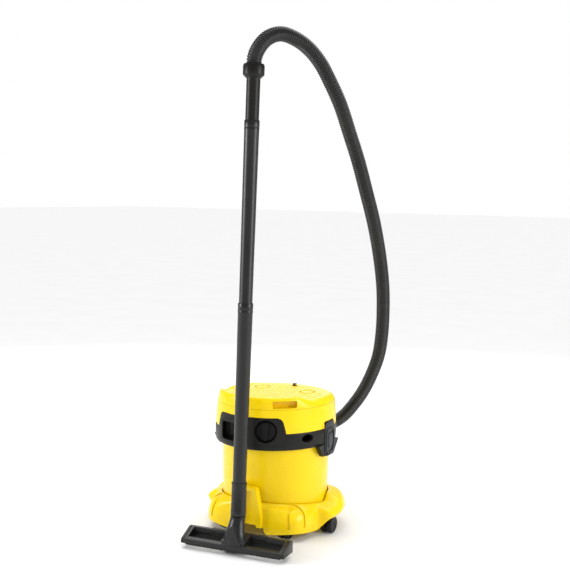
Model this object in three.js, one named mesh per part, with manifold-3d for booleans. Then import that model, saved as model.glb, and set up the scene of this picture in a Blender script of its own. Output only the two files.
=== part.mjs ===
// Wet and dry drum vacuum on swivel casters, with a corrugated hose, a two-piece wand and a floor nozzle.
// Millimetres, +Z up, the machine's front faces -Y.
// Shapes are built about the drum's axis at x = 0, y = 0 with the floor at z = 0. The whole group is then shifted
// level, so that the origin lies at the bottom centre of everything but the hose.
import * as THREE from "three";
import { mergeVertices } from "three/addons/utils/BufferGeometryUtils.js";
import Module from "manifold-3d";

const wasm = await Module();
wasm.setup();

// ---------- driving dimensions ----------
const GAP = 0.4; // clearance between touching pieces
const TUB_R = 148.5; // drum's outer radius under its rim
const TUB_TAPER = 3.5; // how much smaller the radius is at the bottom
const TUB_WALL = 2.6;
const RIM_R = TUB_R + 2.3; // rim that the head closes on
const TUB_TOP = 251; // rim of the drum
const HEAD_A = 163; // half the head's width, along X
const HEAD_B = 180; // half the head's length, along Y
const BAND_BOTTOM = 245; // black band round the head
const BAND_TOP = 290;
const PARTING_Z = 353.8; // line between the motor cover and the top cover
const TRAY_Z = 368; // flat tray on top
const LIP_Z = 384; // top of the raised front lip
const SKIRT_R = 167; // chassis skirt
const SKIRT_BOTTOM = 16;
const COLLAR_Z = 98.5; // chassis collar round the drum, at the front
const COLLAR_SIDE_Z = 80; // and at the sides
const WHEEL_R = 23;
const WHEEL_TOP = 2 * WHEEL_R;
const TUB_BOTTOM = WHEEL_TOP + 15; // underside of the drum, clear above the casters
const STEM_R = 5.1; // caster's stem, in its boss
const WHEEL_W = 13;
const WHEEL_GAP = 8; // between the two wheels of one caster
const STEM_TOP = TUB_BOTTOM - 0.8; // top of a caster's stem, just under the drum
const CASTER_TRAIL = 15; // from the swivel's axis to the wheels' axis
const GLAND_R = 7.1; // mains cable's gland
const INLET_Z = 208; // hose inlet at the back
const PORT_R = 23.7; // its pipe, through the drum's wall
const PANEL_BOTTOM = 256;
const PANEL_TOP = 332;
const NICHE = { x0: -80, x1: -1, z0: 262, z1: 311, depth: 40 };
const KNOB = { angle: 18, z: 297, play: 4.5, r: 25.5, seat: HEAD_B - 12 };
const LATCH = { half: 29, top: 306, bottom: 212, back: HEAD_A - 6, pinR: HEAD_A - 5.5, pinZ: 296 };
const RING_X = 71; // accessory rings in the tray
const RING_Y = 48;
const WAND = { x: 26, y: -262, lean: 0.0436 }; // axis where it meets the floor, and its backward slope
const SLEEVE_Z = [94, 179];
const LOWER_TUBE_Z = [180, 641];
const UPPER_TUBE_Z = [642, 1103];
const TUBE_INSERT = 44; // length of a tube's end inside the next piece
const CUFF_Z = [1208, 1243];
const TUBE_END_R = 17.2;
const TUBE_BORE_R = TUBE_END_R - 2;
const SOCKET_R = TUBE_END_R + 0.6; // a tube's end slides into it
const TUBE_MOUTH_R = SOCKET_R + 1.7;
const NOZZLE = { x: 29, y: -272, length: 290, depth: 60, rear: 36, front: 17, turn: 4, lift: 9 };
const HOSE_R = 19.6;

// The hose's centreline, from the connector at the back to the wand's cuff.
const HOSE_ROUTE = [
  [0, 208, 208], [0, 230, 208], [3, 252, 209], [16, 274, 214], [40, 290, 227], [73, 298, 251], [106, 301, 290],
  [138, 301, 338], [164, 301, 393], [184, 297, 448], [197, 286, 516], [205, 270, 588], [210, 249, 660],
  [210, 216, 752], [206, 176, 844], [198, 135, 928], [188, 96, 1012], [176, 64, 1080], [161, 28, 1158],
  [144, -4, 1216], [128, -30, 1260], [108, -58, 1294], [86, -90, 1316], [62, -128, 1326], [43, -162, 1314],
  [32, -190, 1288], [26.6, -205.4, 1260], [26, -208.2, 1232],
];

const CASTERS = [
  { name: "front_left", x: -90, y: -97 },
  { name: "front_right", x: 90, y: -97 },
  { name: "side_left", x: -170, y: 6 },
  { name: "side_right", x: 170, y: 6 },
  { name: "rear", x: 0, y: 166 },
];

const SEG = 40; // sides of the large round pieces

const materials = {
  yellow: () => new THREE.MeshStandardMaterial({ color: 0xffd900, roughness: 0.35 }),
  black: () => new THREE.MeshStandardMaterial({ color: 0x232323, roughness: 0.5 }),
  grey: () => new THREE.MeshStandardMaterial({ color: 0x4a4a4c, roughness: 0.5 }),
  rubber: () => new THREE.MeshStandardMaterial({ color: 0x1a1a1a, roughness: 0.85 }),
  hose: () => new THREE.MeshStandardMaterial({ color: 0x1c1c1c, roughness: 0.4 }),
  steel: () => new THREE.MeshStandardMaterial({ color: 0xb8bbc0, roughness: 0.3, metalness: 1 }),
  copper: () => new THREE.MeshStandardMaterial({ color: 0xb5652a, roughness: 0.4, metalness: 1 }),
  paper: () => new THREE.MeshStandardMaterial({ color: 0xe9e4d6, roughness: 0.9 }),
  foam: () => new THREE.MeshStandardMaterial({ color: 0x6e7074, roughness: 0.95 }),
};

const machine = new THREE.Group();
machine.name = "drum_vacuum";

function add(name, shape, material) {
  const geometry = shape.isBufferGeometry ? shape : geometryOf(shape);
  const mesh = new THREE.Mesh(geometry, materials[material]());
  mesh.name = name;
  machine.add(mesh);
}

// ---------- geometry helpers ----------

// A closed solid through a list of rings. A ring of one point is a pole. With loop, the last ring joins the first.
function loft(rings, loop = false) {
  const position = [];
  const index = [];
  const starts = rings.map((one) => {
    const start = position.length / 3;
    one.forEach((p) => position.push(...p));
    return start;
  });
  const pairs = loop ? rings.length : rings.length - 1;
  for (let k = 0; k < pairs; k += 1) {
    const next = (k + 1) % rings.length;
    const low = rings[k].length;
    const high = rings[next].length;
    const count = Math.max(low, high);
    for (let i = 0; i < count; i += 1) {
      const j = (i + 1) % count;
      const [a0, a1] = low === 1 ? [starts[k], starts[k]] : [starts[k] + i, starts[k] + j];
      const [b0, b1] = high === 1 ? [starts[next], starts[next]] : [starts[next] + i, starts[next] + j];
      if (low > 1) index.push(a0, a1, b0);
      if (high > 1) index.push(a1, b1, b0);
    }
  }
  const geometry = new THREE.BufferGeometry();
  geometry.setAttribute("position", new THREE.Float32BufferAttribute(position, 3));
  geometry.setIndex(index);
  return facingOut(geometry);
}

function signedVolume(geometry) {
  const p = geometry.getAttribute("position");
  let sum = 0;
  for (let i = 0; i < geometry.index.count; i += 3) {
    const [a, b, c] = [0, 1, 2].map((k) => new THREE.Vector3().fromBufferAttribute(p, geometry.index.getX(i + k)));
    sum += a.dot(b.cross(c));
  }
  return sum / 6;
}

function facingOut(geometry) {
  if (signedVolume(geometry) < 0) {
    const flipped = [];
    for (let i = 0; i < geometry.index.count; i += 3) {
      flipped.push(geometry.index.getX(i), geometry.index.getX(i + 2), geometry.index.getX(i + 1));
    }
    geometry.setIndex(flipped);
  }
  return geometry;
}

function solidOf(geometry) {
  const bare = geometry.clone();
  bare.deleteAttribute("normal");
  bare.deleteAttribute("uv");
  const merged = mergeVertices(bare, 1e-4);
  return new wasm.Manifold(
    new wasm.Mesh({
      numProp: 3,
      vertProperties: new Float32Array(merged.getAttribute("position").array),
      triVerts: new Uint32Array(merged.index.array),
    }),
  );
}

function geometryOf(solid) {
  const mesh = solid.getMesh();
  const geometry = new THREE.BufferGeometry();
  geometry.setAttribute("position", new THREE.Float32BufferAttribute(mesh.vertProperties, 3));
  geometry.setIndex(Array.from(mesh.triVerts));
  return geometry;
}

const union = (...shapes) => shapes.map(solidOf).reduce((all, one) => all.add(one));
const cut = (solid, ...shapes) => shapes.reduce((rest, one) => rest.subtract(one.getMesh ? one : solidOf(one)), solid);

// One ring of an ellipse with half axes a and b at height z. It starts at the front, -Y, and goes round by +X.
function ring(segments, a, b, z, x = 0, y = 0) {
  return Array.from({ length: segments }, (_, i) => {
    const t = (i / segments) * 2 * Math.PI;
    return [x + a * Math.sin(t), y - b * Math.cos(t), z];
  });
}

// A turned solid about a vertical axis, from a profile of [radius, z]. Radius 0 gives a pole.
function turned(profile, segments, { loop = false, x = 0, y = 0, squash = 1 } = {}) {
  const rings = profile.map(([r, z]) => (r === 0 ? [[x, y, z]] : ring(segments, r, r * squash, z, x, y)));
  return loft(rings, loop);
}

function cylinder(r, z0, z1, segments = 24, x = 0, y = 0) {
  return turned([[0, z0], [r, z0], [r, z1], [0, z1]], segments, { x, y });
}

function tubeRing(outer, inner, z0, z1, segments = 24, x = 0, y = 0) {
  return turned([[inner, z0], [outer, z0], [outer, z1], [inner, z1]], segments, { loop: true, x, y });
}

function box(x0, x1, y0, y1, z0, z1) {
  const size = new THREE.BoxGeometry(x1 - x0, y1 - y0, z1 - z0);
  return size.translate((x0 + x1) / 2, (y0 + y1) / 2, (z0 + z1) / 2);
}

// A prism from an outline of [u, v] points, standing along +Z from z0 to z1.
function prism(outline, z0, z1) {
  const shape = new THREE.Shape(outline.map(([u, v]) => new THREE.Vector2(u, v)));
  const geometry = new THREE.ExtrudeGeometry(shape, { depth: z1 - z0, bevelEnabled: false, steps: 1 });
  return geometry.translate(0, 0, z0);
}

// Moves a shape built along +Z so that its Z runs along `out` and its X along `across`.
function placed(geometry, origin, out, across) {
  const z = new THREE.Vector3(...out).normalize();
  const x = new THREE.Vector3(...across);
  x.addScaledVector(z, -x.dot(z)).normalize();
  const y = new THREE.Vector3().crossVectors(z, x);
  const matrix = new THREE.Matrix4().makeBasis(x, y, z).setPosition(...origin);
  return geometry.clone().applyMatrix4(matrix);
}

// A shape built along +Z, turned to point outwards from the drum's axis at an angle from the front towards +X.
// Its X stays level and its Y points up.
function pointingOut(geometry, degrees, height = 0) {
  const t = THREE.MathUtils.degToRad(degrees);
  return placed(geometry, [0, 0, height], [Math.sin(t), -Math.cos(t), 0], [Math.cos(t), Math.sin(t), 0]);
}

// An upright outline of [across, height], pushed outwards from r0 to r1.
function outPrism(outline, degrees, r0, r1) {
  return pointingOut(prism(outline, r0, r1), degrees);
}

function roundedRect(x0, x1, z0, z1, r, steps = 3) {
  const corners = [[x1 - r, z1 - r, 0], [x0 + r, z1 - r, 90], [x0 + r, z0 + r, 180], [x1 - r, z0 + r, 270]];
  return corners.flatMap(([cx, cz, from]) =>
    Array.from({ length: steps + 1 }, (_, i) => {
      const t = THREE.MathUtils.degToRad(from + (90 * i) / steps);
      return [cx + r * Math.cos(t), cz + r * Math.sin(t)];
    }),
  );
}

// Weight that is 1 within `flat` degrees of the angle `at` and falls to 0 at `half` degrees away.
function bump(degrees, at, half, flat = 0) {
  const d = Math.abs(((degrees - at + 540) % 360) - 180);
  return 1 - THREE.MathUtils.smoothstep(d, flat, half);
}

function sweep(points, radius, sides, steps) {
  const path = new THREE.CatmullRomCurve3(points.map((p) => new THREE.Vector3(...p)), false, "centripetal");
  const outline = Array.from({ length: sides }, (_, i) => {
    const t = (i / sides) * 2 * Math.PI;
    return new THREE.Vector2(radius * Math.cos(t), radius * Math.sin(t));
  });
  return new THREE.ExtrudeGeometry(new THREE.Shape(outline), { steps, extrudePath: path, bevelEnabled: false });
}

// ---------- drum, chassis and casters ----------

function container() {
  const low = TUB_R - TUB_TAPER;
  const shell = turned(
    [
      [0, TUB_BOTTOM], [low - 6.5, TUB_BOTTOM], [low, TUB_BOTTOM + 7], [TUB_R, TUB_TOP - 6], [RIM_R, TUB_TOP - 4],
      [RIM_R, TUB_TOP], [TUB_R - TUB_WALL, TUB_TOP], [low - TUB_WALL, TUB_BOTTOM + 9],
      [low - 7.5, TUB_BOTTOM + 2.8], [0, TUB_BOTTOM + 2.8],
    ],
    SEG,
  );
  let body = solidOf(shell);
  // catch lugs for the two latches
  [-90, 90].forEach((degrees) => {
    const lug = [[-17, 222], [17, 222], [17, 231], [-17, 231]];
    body = body.add(solidOf(outPrism(lug, degrees, TUB_R - 1.8, RIM_R - 0.4)));
  });
  const hole = placed(cylinder(PORT_R + 0.6, TUB_R - 18.5, TUB_R + 11, 20), [0, 0, INLET_Z], [0, 1, 0], [1, 0, 0]);
  add("container", cut(body, hole), "yellow");
}

// Height of the chassis collar round the drum. It is highest at the front and falls towards the sides.
function collarHeight(degrees) {
  const front = Math.max(Math.cos(THREE.MathUtils.degToRad(degrees)), 0);
  return COLLAR_SIDE_Z + (COLLAR_Z - COLLAR_SIDE_Z) * front;
}

// One ring of the chassis. A row holds four [radius, z] values: of the plain skirt, of the front corners, over the
// side and rear wheels, and of the tall housings behind the side wheels.
function chassisRing(rowAt) {
  const n = 60;
  return Array.from({ length: n }, (_, i) => {
    const degrees = (i / n) * 360;
    const t = THREE.MathUtils.degToRad(degrees);
    const weights = [
      Math.max(bump(degrees, 43, 28), bump(degrees, -43, 28)),
      Math.max(bump(degrees, 93, 23, 15), bump(degrees, -93, 23, 15), bump(degrees, 180, 36, 22)),
      Math.max(bump(degrees, 116, 26, 15), bump(degrees, -116, 26, 15)),
    ];
    const row = rowAt(collarHeight(degrees));
    const [r, z] = [0, 1].map((k) =>
      weights.reduce((value, weight, j) => value + (row[j + 1][k] - value) * weight, row[0][k]),
    );
    return [r * Math.sin(t), -r * Math.cos(t), z];
  });
}

const level = (r, z) => chassisRing(() => [[r, z], [r, z], [r, z], [r, z]]);

// Outer surface of the chassis, from the skirt's lower edge to the collar.
function chassisOutside(inset) {
  const rows = [
    () => [[SKIRT_R, SKIRT_BOTTOM], [190, 24], [193, 48], [193, 48]],
    () => [[SKIRT_R + 1, 42], [191, 44], [197, 56], [197, 60]],
    () => [[SKIRT_R - 1, 63], [187, 62], [191, 66], [191, 76]],
    (c) => [[TUB_R + 14, c - 12], [177, c - 16], [181, 73], [182, 86]],
    (c) => [[TUB_R + 8, c - 5], [TUB_R + 13, c - 6], [TUB_R + 17, 77.5], [TUB_R + 18, 93]],
    (c) => [[TUB_R + 4.5, c], [TUB_R + 4.6, c], [TUB_R + 5, c], [TUB_R + 6, 98]],
  ];
  return rows.map((row) => chassisRing((c) => row(c).map(([r, z]) => [r - inset, z - inset * 0.4])));
}

function chassisShell() {
  const under = [
    level(TUB_R + 3.4, TUB_BOTTOM - 4),
    chassisRing((c) => [[TUB_R + 3.8, c - 9], [TUB_R + 6, c - 10], [TUB_R + 8, c - 12], [TUB_R + 8, 90]]),
    chassisRing((c) => [[TUB_R + 11, c - 17], [172, c - 22], [177, 64], [178, 81]]),
    chassisRing(() => [[SKIRT_R - 4, 56], [184, 56], [187.5, 60], [188, 71]]),
    chassisRing(() => [[SKIRT_R - 3.5, SKIRT_BOTTOM], [186.8, 24], [189.5, 48], [189.5, 48]]),
  ];
  const inside = [
    chassisRing((c) => [[TUB_R + 1, c], [TUB_R + 1, c], [TUB_R + 1, c], [TUB_R + 1, 98]]),
    level(TUB_R + 0.6, TUB_BOTTOM - GAP),
  ];
  return loft([[[0, 0, TUB_BOTTOM - 4]], ...under, ...chassisOutside(0), ...inside, [[0, 0, TUB_BOTTOM - GAP]]]);
}

function archOutline(half, halfTop, z0, zTop, corner) {
  const side = (s) => [
    [s * half, z0], [s * (half - 2), z0 + (zTop - z0) * 0.35], [s * (halfTop + corner), zTop - corner * 2.2],
    [s * (halfTop + corner * 0.6), zTop - corner * 0.8], [s * halfTop, zTop],
  ];
  return [...side(1), ...side(-1).reverse()];
}

// An upside-down U. Two of them make the groove round a front caster's housing.
function grooveOutline(half, z0, zTop) {
  const steps = 6;
  const arc = Array.from({ length: steps + 1 }, (_, i) => {
    const t = (Math.PI * i) / steps;
    return [half * Math.cos(t), zTop - half + half * Math.sin(t)];
  });
  return [[half, z0], ...arc, [-half, z0]];
}

function chassis() {
  let body = solidOf(chassisShell());
  body = body.add(solidOf(outPrism(archOutline(46, 22, 30, 141, 10), 0, TUB_R + 2, 171)));
  body = cut(body, outPrism(archOutline(33, 12, 0, 132, 9), 0, TUB_R + 5.5, 200));
  body = cut(body, outPrism(archOutline(62, 44, 0, 36, 6), 0, 120, 200));
  const core = solidOf(loft([[[0, 0, SKIRT_BOTTOM]], ...chassisOutside(3), [[0, 0, COLLAR_Z]]]));
  [-45, 45].forEach((degrees) => {
    const band = cut(
      solidOf(outPrism(grooveOutline(26.5, 38, 92), degrees, 120, 210)),
      outPrism(grooveOutline(19.5, 30, 85), degrees, 110, 220),
    );
    body = cut(body, cut(band, core));
  });
  const drum = cylinder(TUB_R + 0.6, TUB_BOTTOM - GAP, 200, SEG);
  CASTERS.forEach(({ x, y }) => {
    const top = TUB_BOTTOM + (y < 0 ? 19 : 9);
    body = body.add(cut(solidOf(cylinder(STEM_R + 5.9, TUB_BOTTOM - 7, top, 12, x, y)), drum));
  });
  CASTERS.forEach(({ x, y }) => {
    body = cut(body, cylinder(STEM_R + GAP, TUB_BOTTOM - 11, TUB_BOTTOM + 3, 12, x, y));
  });
  add("chassis", body, "yellow");
}

// Twin-wheel swivel caster. The wheels trail towards the front, as after the machine was pushed back.
function caster({ name, x, y }) {
  const axle = y - CASTER_TRAIL;
  const half = WHEEL_GAP / 2 - GAP;
  const cheek = [
    [7, WHEEL_TOP - 12], [7, WHEEL_TOP - 1], [-8, WHEEL_TOP + 1.4], [-CASTER_TRAIL - 10, WHEEL_TOP - 5],
    [-CASTER_TRAIL - 13, WHEEL_R + 7], [-CASTER_TRAIL - 8, WHEEL_R - 5], [-CASTER_TRAIL, WHEEL_R - 9],
    [-8, WHEEL_R - 1],
  ];
  const outline = cheek.map(([v, z]) => [y + v, z]);
  const blade = placed(prism(outline, -half, half), [x, 0, 0], [1, 0, 0], [0, 1, 0]);
  const plate = cylinder(9.5, WHEEL_TOP + 0.5, WHEEL_TOP + 7, 12, x, y);
  const stem = cylinder(STEM_R, WHEEL_TOP + 4, STEM_TOP, 12, x, y);
  const bore = placed(cylinder(3.3, -10, 10, 12), [x, axle, WHEEL_R], [1, 0, 0], [0, 1, 0]);
  add(`caster_yoke_${name}`, cut(union(blade, plate, stem), bore), "black");
  const g = WHEEL_GAP / 2;
  const w = g + WHEEL_W;
  const spool = [
    [0, -w + 1.6], [WHEEL_R - 6, -w + 1.6], [WHEEL_R - 4, -w], [WHEEL_R, -w + 4], [WHEEL_R, -g - 2],
    [WHEEL_R - 2, -g], [3, -g], [3, g], [WHEEL_R - 2, g], [WHEEL_R, g + 2], [WHEEL_R, w - 4], [WHEEL_R - 4, w],
    [WHEEL_R - 6, w - 1.6], [0, w - 1.6],
  ];
  add(`caster_wheels_${name}`, placed(turned(spool, 16), [x, axle, WHEEL_R], [1, 0, 0], [0, 1, 0]), "grey");
}

// ---------- hose inlet at the back ----------
const backwards = (geometry) => placed(geometry, [0, TUB_R, INLET_Z], [0, 1, 0], [1, 0, 0]);

function inletPort() {
  // flanged pipe through the drum's wall, with a stepped mouth outside; depths are from the wall
  const profile = [
    [PORT_R - 3.5, -11.5], [PORT_R, -11.5], [PORT_R, -1], [PORT_R + 6.3, -1], [PORT_R + 6.3, 5], [PORT_R + 1.3, 6],
    [PORT_R + 1.3, 19.5], [PORT_R + 2.8, 20.5], [PORT_R + 2.8, 27.5], [PORT_R - 1.3, 27.5], [PORT_R - 3.5, 11.5],
  ];
  const drum = solidOf(cylinder(TUB_R + 0.3, INLET_Z - 40, INLET_Z + 40, SEG));
  const kept = backwards(cylinder(PORT_R + 0.1, -30, 16, 20));
  add("inlet_port", cut(solidOf(backwards(turned(profile, 20, { loop: true }))), cut(drum, kept)), "black");
}

function inletElbow() {
  // bend inside the drum that sends the air and dirt downwards
  const y = TUB_R - 12.5;
  const z = INLET_Z;
  const bend = [[0, y, z], [0, y - 14, z], [0, y - 25, z - 4], [0, y - 32, z - 12], [0, y - 35, z - 24]];
  const bore = [[0, y + 5, z], ...bend.slice(1), [0, y - 36, z - 42]];
  bend.push([0, y - 36, z - 36]);
  add("inlet_elbow", cut(solidOf(sweep(bend, 22.6, 14, 7)), sweep(bore, 19.8, 14, 9)), "black");
}

function hoseConnector() {
  const bore = 15.5;
  const profile = [
    [bore, 13.5], [PORT_R - 4.1, 13.5], [PORT_R - 1.9, 26.5], [PORT_R - 1.9, 28.1], [PORT_R + 0.8, 28.7],
    [PORT_R + 1.8, 35.5], [PORT_R + 1.8, 57.5],
    [HOSE_R + 3.9, 61.5], [HOSE_R + 2.9, 70.5], [HOSE_R + 0.9, 71], [HOSE_R + 0.9, 55.5], [bore, 53.5],
  ];
  add("hose_connector", backwards(turned(profile, 20, { loop: true })), "black");
}

function hose() {
  add("suction_hose", sweep(HOSE_ROUTE, HOSE_R, 10, 54), "hose");
}

// ---------- motor head ----------
const headRing = (a, b, z) => ring(SEG, a, b, z);

// Distance from the axis to the head's outline, at an angle from the front.
function headRadius(degrees) {
  const t = THREE.MathUtils.degToRad(degrees);
  return 1 / Math.hypot(Math.sin(t) / HEAD_A, Math.cos(t) / HEAD_B);
}

function panelOutline(grow) {
  const half = [
    [101 + grow, PANEL_BOTTOM - grow], [101 + grow, 292], [95 + grow, 320], [91 + grow, 327],
    [83 + grow, PANEL_TOP + grow],
  ];
  return [...half, ...half.map(([x, z]) => [-x, z]).reverse()];
}

function latchSides(make) {
  make(-90, "left");
  make(90, "right");
}

// Flat plate over the drum, with the black band round it.
function headBase() {
  const rings = [
    headRing(40, 40, 254.4), headRing(RIM_R + 1, RIM_R + 1, 254.4), headRing(RIM_R + 1, RIM_R + 1, BAND_BOTTOM),
    headRing(HEAD_A - 3, HEAD_B - 3, BAND_BOTTOM), headRing(HEAD_A + 0.5, HEAD_B + 0.8, BAND_BOTTOM + 6),
    headRing(HEAD_A + 1.5, HEAD_B + 1.8, BAND_TOP - 8), headRing(HEAD_A + 0.5, HEAD_B + 0.8, BAND_TOP),
    headRing(HEAD_A - 6, HEAD_B - 6.5, BAND_TOP), headRing(HEAD_A - 6, HEAD_B - 6.5, 258), headRing(40, 40, 258),
  ];
  let body = solidOf(loft(rings, true));
  const ear = [[-62, 247], [-40, 219], [-35, 214], [35, 214], [40, 219], [62, 247]];
  const drum = cylinder(RIM_R + 1.4, 200, 260, SEG);
  [-90, 90].forEach((degrees) => {
    body = body.add(cut(solidOf(outPrism(ear, degrees, TUB_R + 1.5, HEAD_A - 0.4)), drum));
    const backing = roundedRect(-40, 40, 256, BAND_TOP, 2, 1);
    body = body.add(solidOf(outPrism(backing, degrees, RIM_R + 1.1, HEAD_A - 4.5)));
  });
  body = cut(body, outPrism(panelOutline(GAP), 0, 120, HEAD_B + 20));
  // oval dished hollow on each side of the panel
  const dish = turned([[0, 0], [11, 2], [16, 7], [18.5, 14], [20, 23], [0, 23]], 24, { squash: 0.6 });
  [-57, 57].forEach((degrees) => {
    body = cut(body, pointingOut(dish.clone().translate(0, 0, headRadius(degrees) - 12.3), degrees, 274));
  });
  latchSides((degrees) => {
    body = cut(body, outPrism(roundedRect(-31, 31, 200, 320, 6, 2), degrees, LATCH.back - 0.5, HEAD_A + 27));
    body = cut(body, outPrism(roundedRect(-22, 22, 200, 221, 2, 1), degrees, RIM_R - 10, HEAD_A + 7));
  });
  add("head_base", body, "black");
}

function headCover() {
  const rings = [
    headRing(HEAD_A, HEAD_B + 0.3, BAND_TOP + GAP), headRing(HEAD_A - 0.7, HEAD_B - 0.4, 312),
    headRing(HEAD_A - 2.2, HEAD_B - 1.7, PANEL_TOP), headRing(HEAD_A - 4.2, HEAD_B - 3.6, PARTING_Z - GAP),
    headRing(HEAD_A - 8, HEAD_B - 7.4, PARTING_Z - GAP), headRing(HEAD_A - 6, HEAD_B - 5.5, PANEL_TOP),
    headRing(HEAD_A - 4.2, HEAD_B - 4, BAND_TOP + GAP),
  ];
  let body = solidOf(loft(rings, true));
  latchSides((degrees) => {
    [-1, 1].forEach((side) => {
      const ear = roundedRect(Math.min(side * 31, side * 38), Math.max(side * 31, side * 38), 290.6, 302, 2, 1);
      body = body.add(solidOf(outPrism(ear, degrees, HEAD_A - 12, HEAD_A - 1.5)));
    });
    const opening = roundedRect(-31.2, 31.2, 270, LATCH.top + 2.5, 8, 3);
    body = cut(body, outPrism(opening, degrees, HEAD_A - 23, HEAD_A + 27));
    const x = Math.sin(THREE.MathUtils.degToRad(degrees)) * LATCH.pinR;
    body = cut(body, placed(cylinder(2.1, -36.5, 36.5, 12), [x, 0, LATCH.pinZ], [0, 1, 0], [1, 0, 0]));
  });
  body = cut(body, outPrism(panelOutline(GAP), 0, 120, HEAD_B + 20));
  // gland's hole, with room for its two flanges on each side of the wall
  const out = headRadius(150) - 1;
  body = cut(body, pointingOut(cylinder(GLAND_R + 0.3, HEAD_B - 30, HEAD_B + 20, 20), 150, 318));
  body = cut(body, pointingOut(cylinder(GLAND_R + 3.4, out - 30, out - 6.7, 20), 150, 318));
  body = cut(body, pointingOut(cylinder(GLAND_R + 3.4, out + 4.7, out + 30, 20), 150, 318));
  add("head_cover", body, "yellow");
}

function cordGland() {
  // bush where the mains cable enters
  const profile = [
    [GLAND_R - 3.5, -10], [GLAND_R + 2.4, -10], [GLAND_R + 2.4, -7], [GLAND_R, -6.6], [GLAND_R, 4],
    [GLAND_R + 2.4, 5],
    [GLAND_R + 1.9, 9], [GLAND_R - 0.6, 22], [GLAND_R - 3.5, 22],
  ];
  const out = headRadius(150) - 1;
  const bush = turned(profile, 18, { loop: true }).translate(0, 0, out);
  add("cord_gland", pointingOut(bush, 150, 318), "rubber");
}

function controlPanel() {
  const outer = solidOf(
    loft([
      [[0, 0, 250]], headRing(HEAD_A + 1.6, HEAD_B + 1.9, 250), headRing(HEAD_A + 1.6, HEAD_B + 1.9, 290),
      headRing(HEAD_A + 0.2, HEAD_B + 0.6, 312), headRing(HEAD_A - 1.6, HEAD_B - 1, 336), [[0, 0, 336]],
    ]),
  );
  let body = outer.intersect(solidOf(outPrism(panelOutline(0), 0, 110, HEAD_B + 20)));
  const behind = [240, 345].map((z) => headRing(HEAD_A - 11, HEAD_B - 12, z));
  body = cut(body, loft([[[0, 0, 240]], ...behind, [[0, 0, 345]]]));
  // box behind the parking niche
  const { x0, x1, z0, z1, depth } = NICHE;
  const floor = HEAD_B + 2 - depth;
  body = body.add(solidOf(outPrism(roundedRect(x0 - 3, x1 + 3, 259, z1 + 3, 5, 2), 0, floor - 4, HEAD_B - 20)));
  body = cut(body, outPrism(roundedRect(x0, x1, z0, z1, 9), 0, floor, HEAD_B + 20));
  // round recess and shaft hole for the switch knob
  const seat = KNOB.seat;
  const recess = KNOB.r + KNOB.play;
  const dish = turned([[0, seat], [recess - 3, seat], [recess, seat + 8], [recess, seat + 22], [0, seat + 22]], 36);
  body = cut(body, pointingOut(dish, KNOB.angle, KNOB.z));
  body = cut(body, pointingOut(cylinder(5.4, seat - 28, seat + 7, 16), KNOB.angle, KNOB.z));
  add("control_panel", body, "black");
}

function rotarySwitch() {
  const base = KNOB.seat + 0.6;
  const disc = turned(
    [[0, base], [KNOB.r, base], [KNOB.r, base + 4.5], [KNOB.r - 3, base + 6.5], [0, base + 6.5]], 32,
  );
  const grip = prism(roundedRect(-6, 6, -23, 23, 5.5), base + 5, base + 16);
  const stem = cylinder(5, base - 22.6, base + 1, 16);
  add("switch_knob", pointingOut(geometryOf(union(disc, grip, stem)), KNOB.angle, KNOB.z), "grey");
  const block = solidOf(box(-13, 13, -16, 16, base - 46.6, base - 18.6));
  const body = cut(block, cylinder(5.4, base - 24.6, base - 13.6, 16));
  add("switch_body", pointingOut(geometryOf(body), KNOB.angle, KNOB.z), "grey");
}

// A ring of the top cover. Each triple says how far in it lies from the head's half width and half length, and its
// height: at the sides, along the front lip and at the back, where the rim runs out.
function topRing(side, lip = side, back = side) {
  return Array.from({ length: SEG }, (_, i) => {
    const degrees = (i / SEG) * 360;
    const t = THREE.MathUtils.degToRad(degrees);
    const d = Math.abs(((degrees + 180) % 360) - 180);
    const front = 1 - THREE.MathUtils.smoothstep(d, 48, 68);
    const rear = THREE.MathUtils.smoothstep(d, 100, 150);
    const [a, b, z] = [0, 1, 2].map((k) => side[k] + (lip[k] - side[k]) * front + (back[k] - side[k]) * rear);
    return [(HEAD_A - a) * Math.sin(t), -(HEAD_B - b) * Math.cos(t), z];
  });
}

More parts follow.
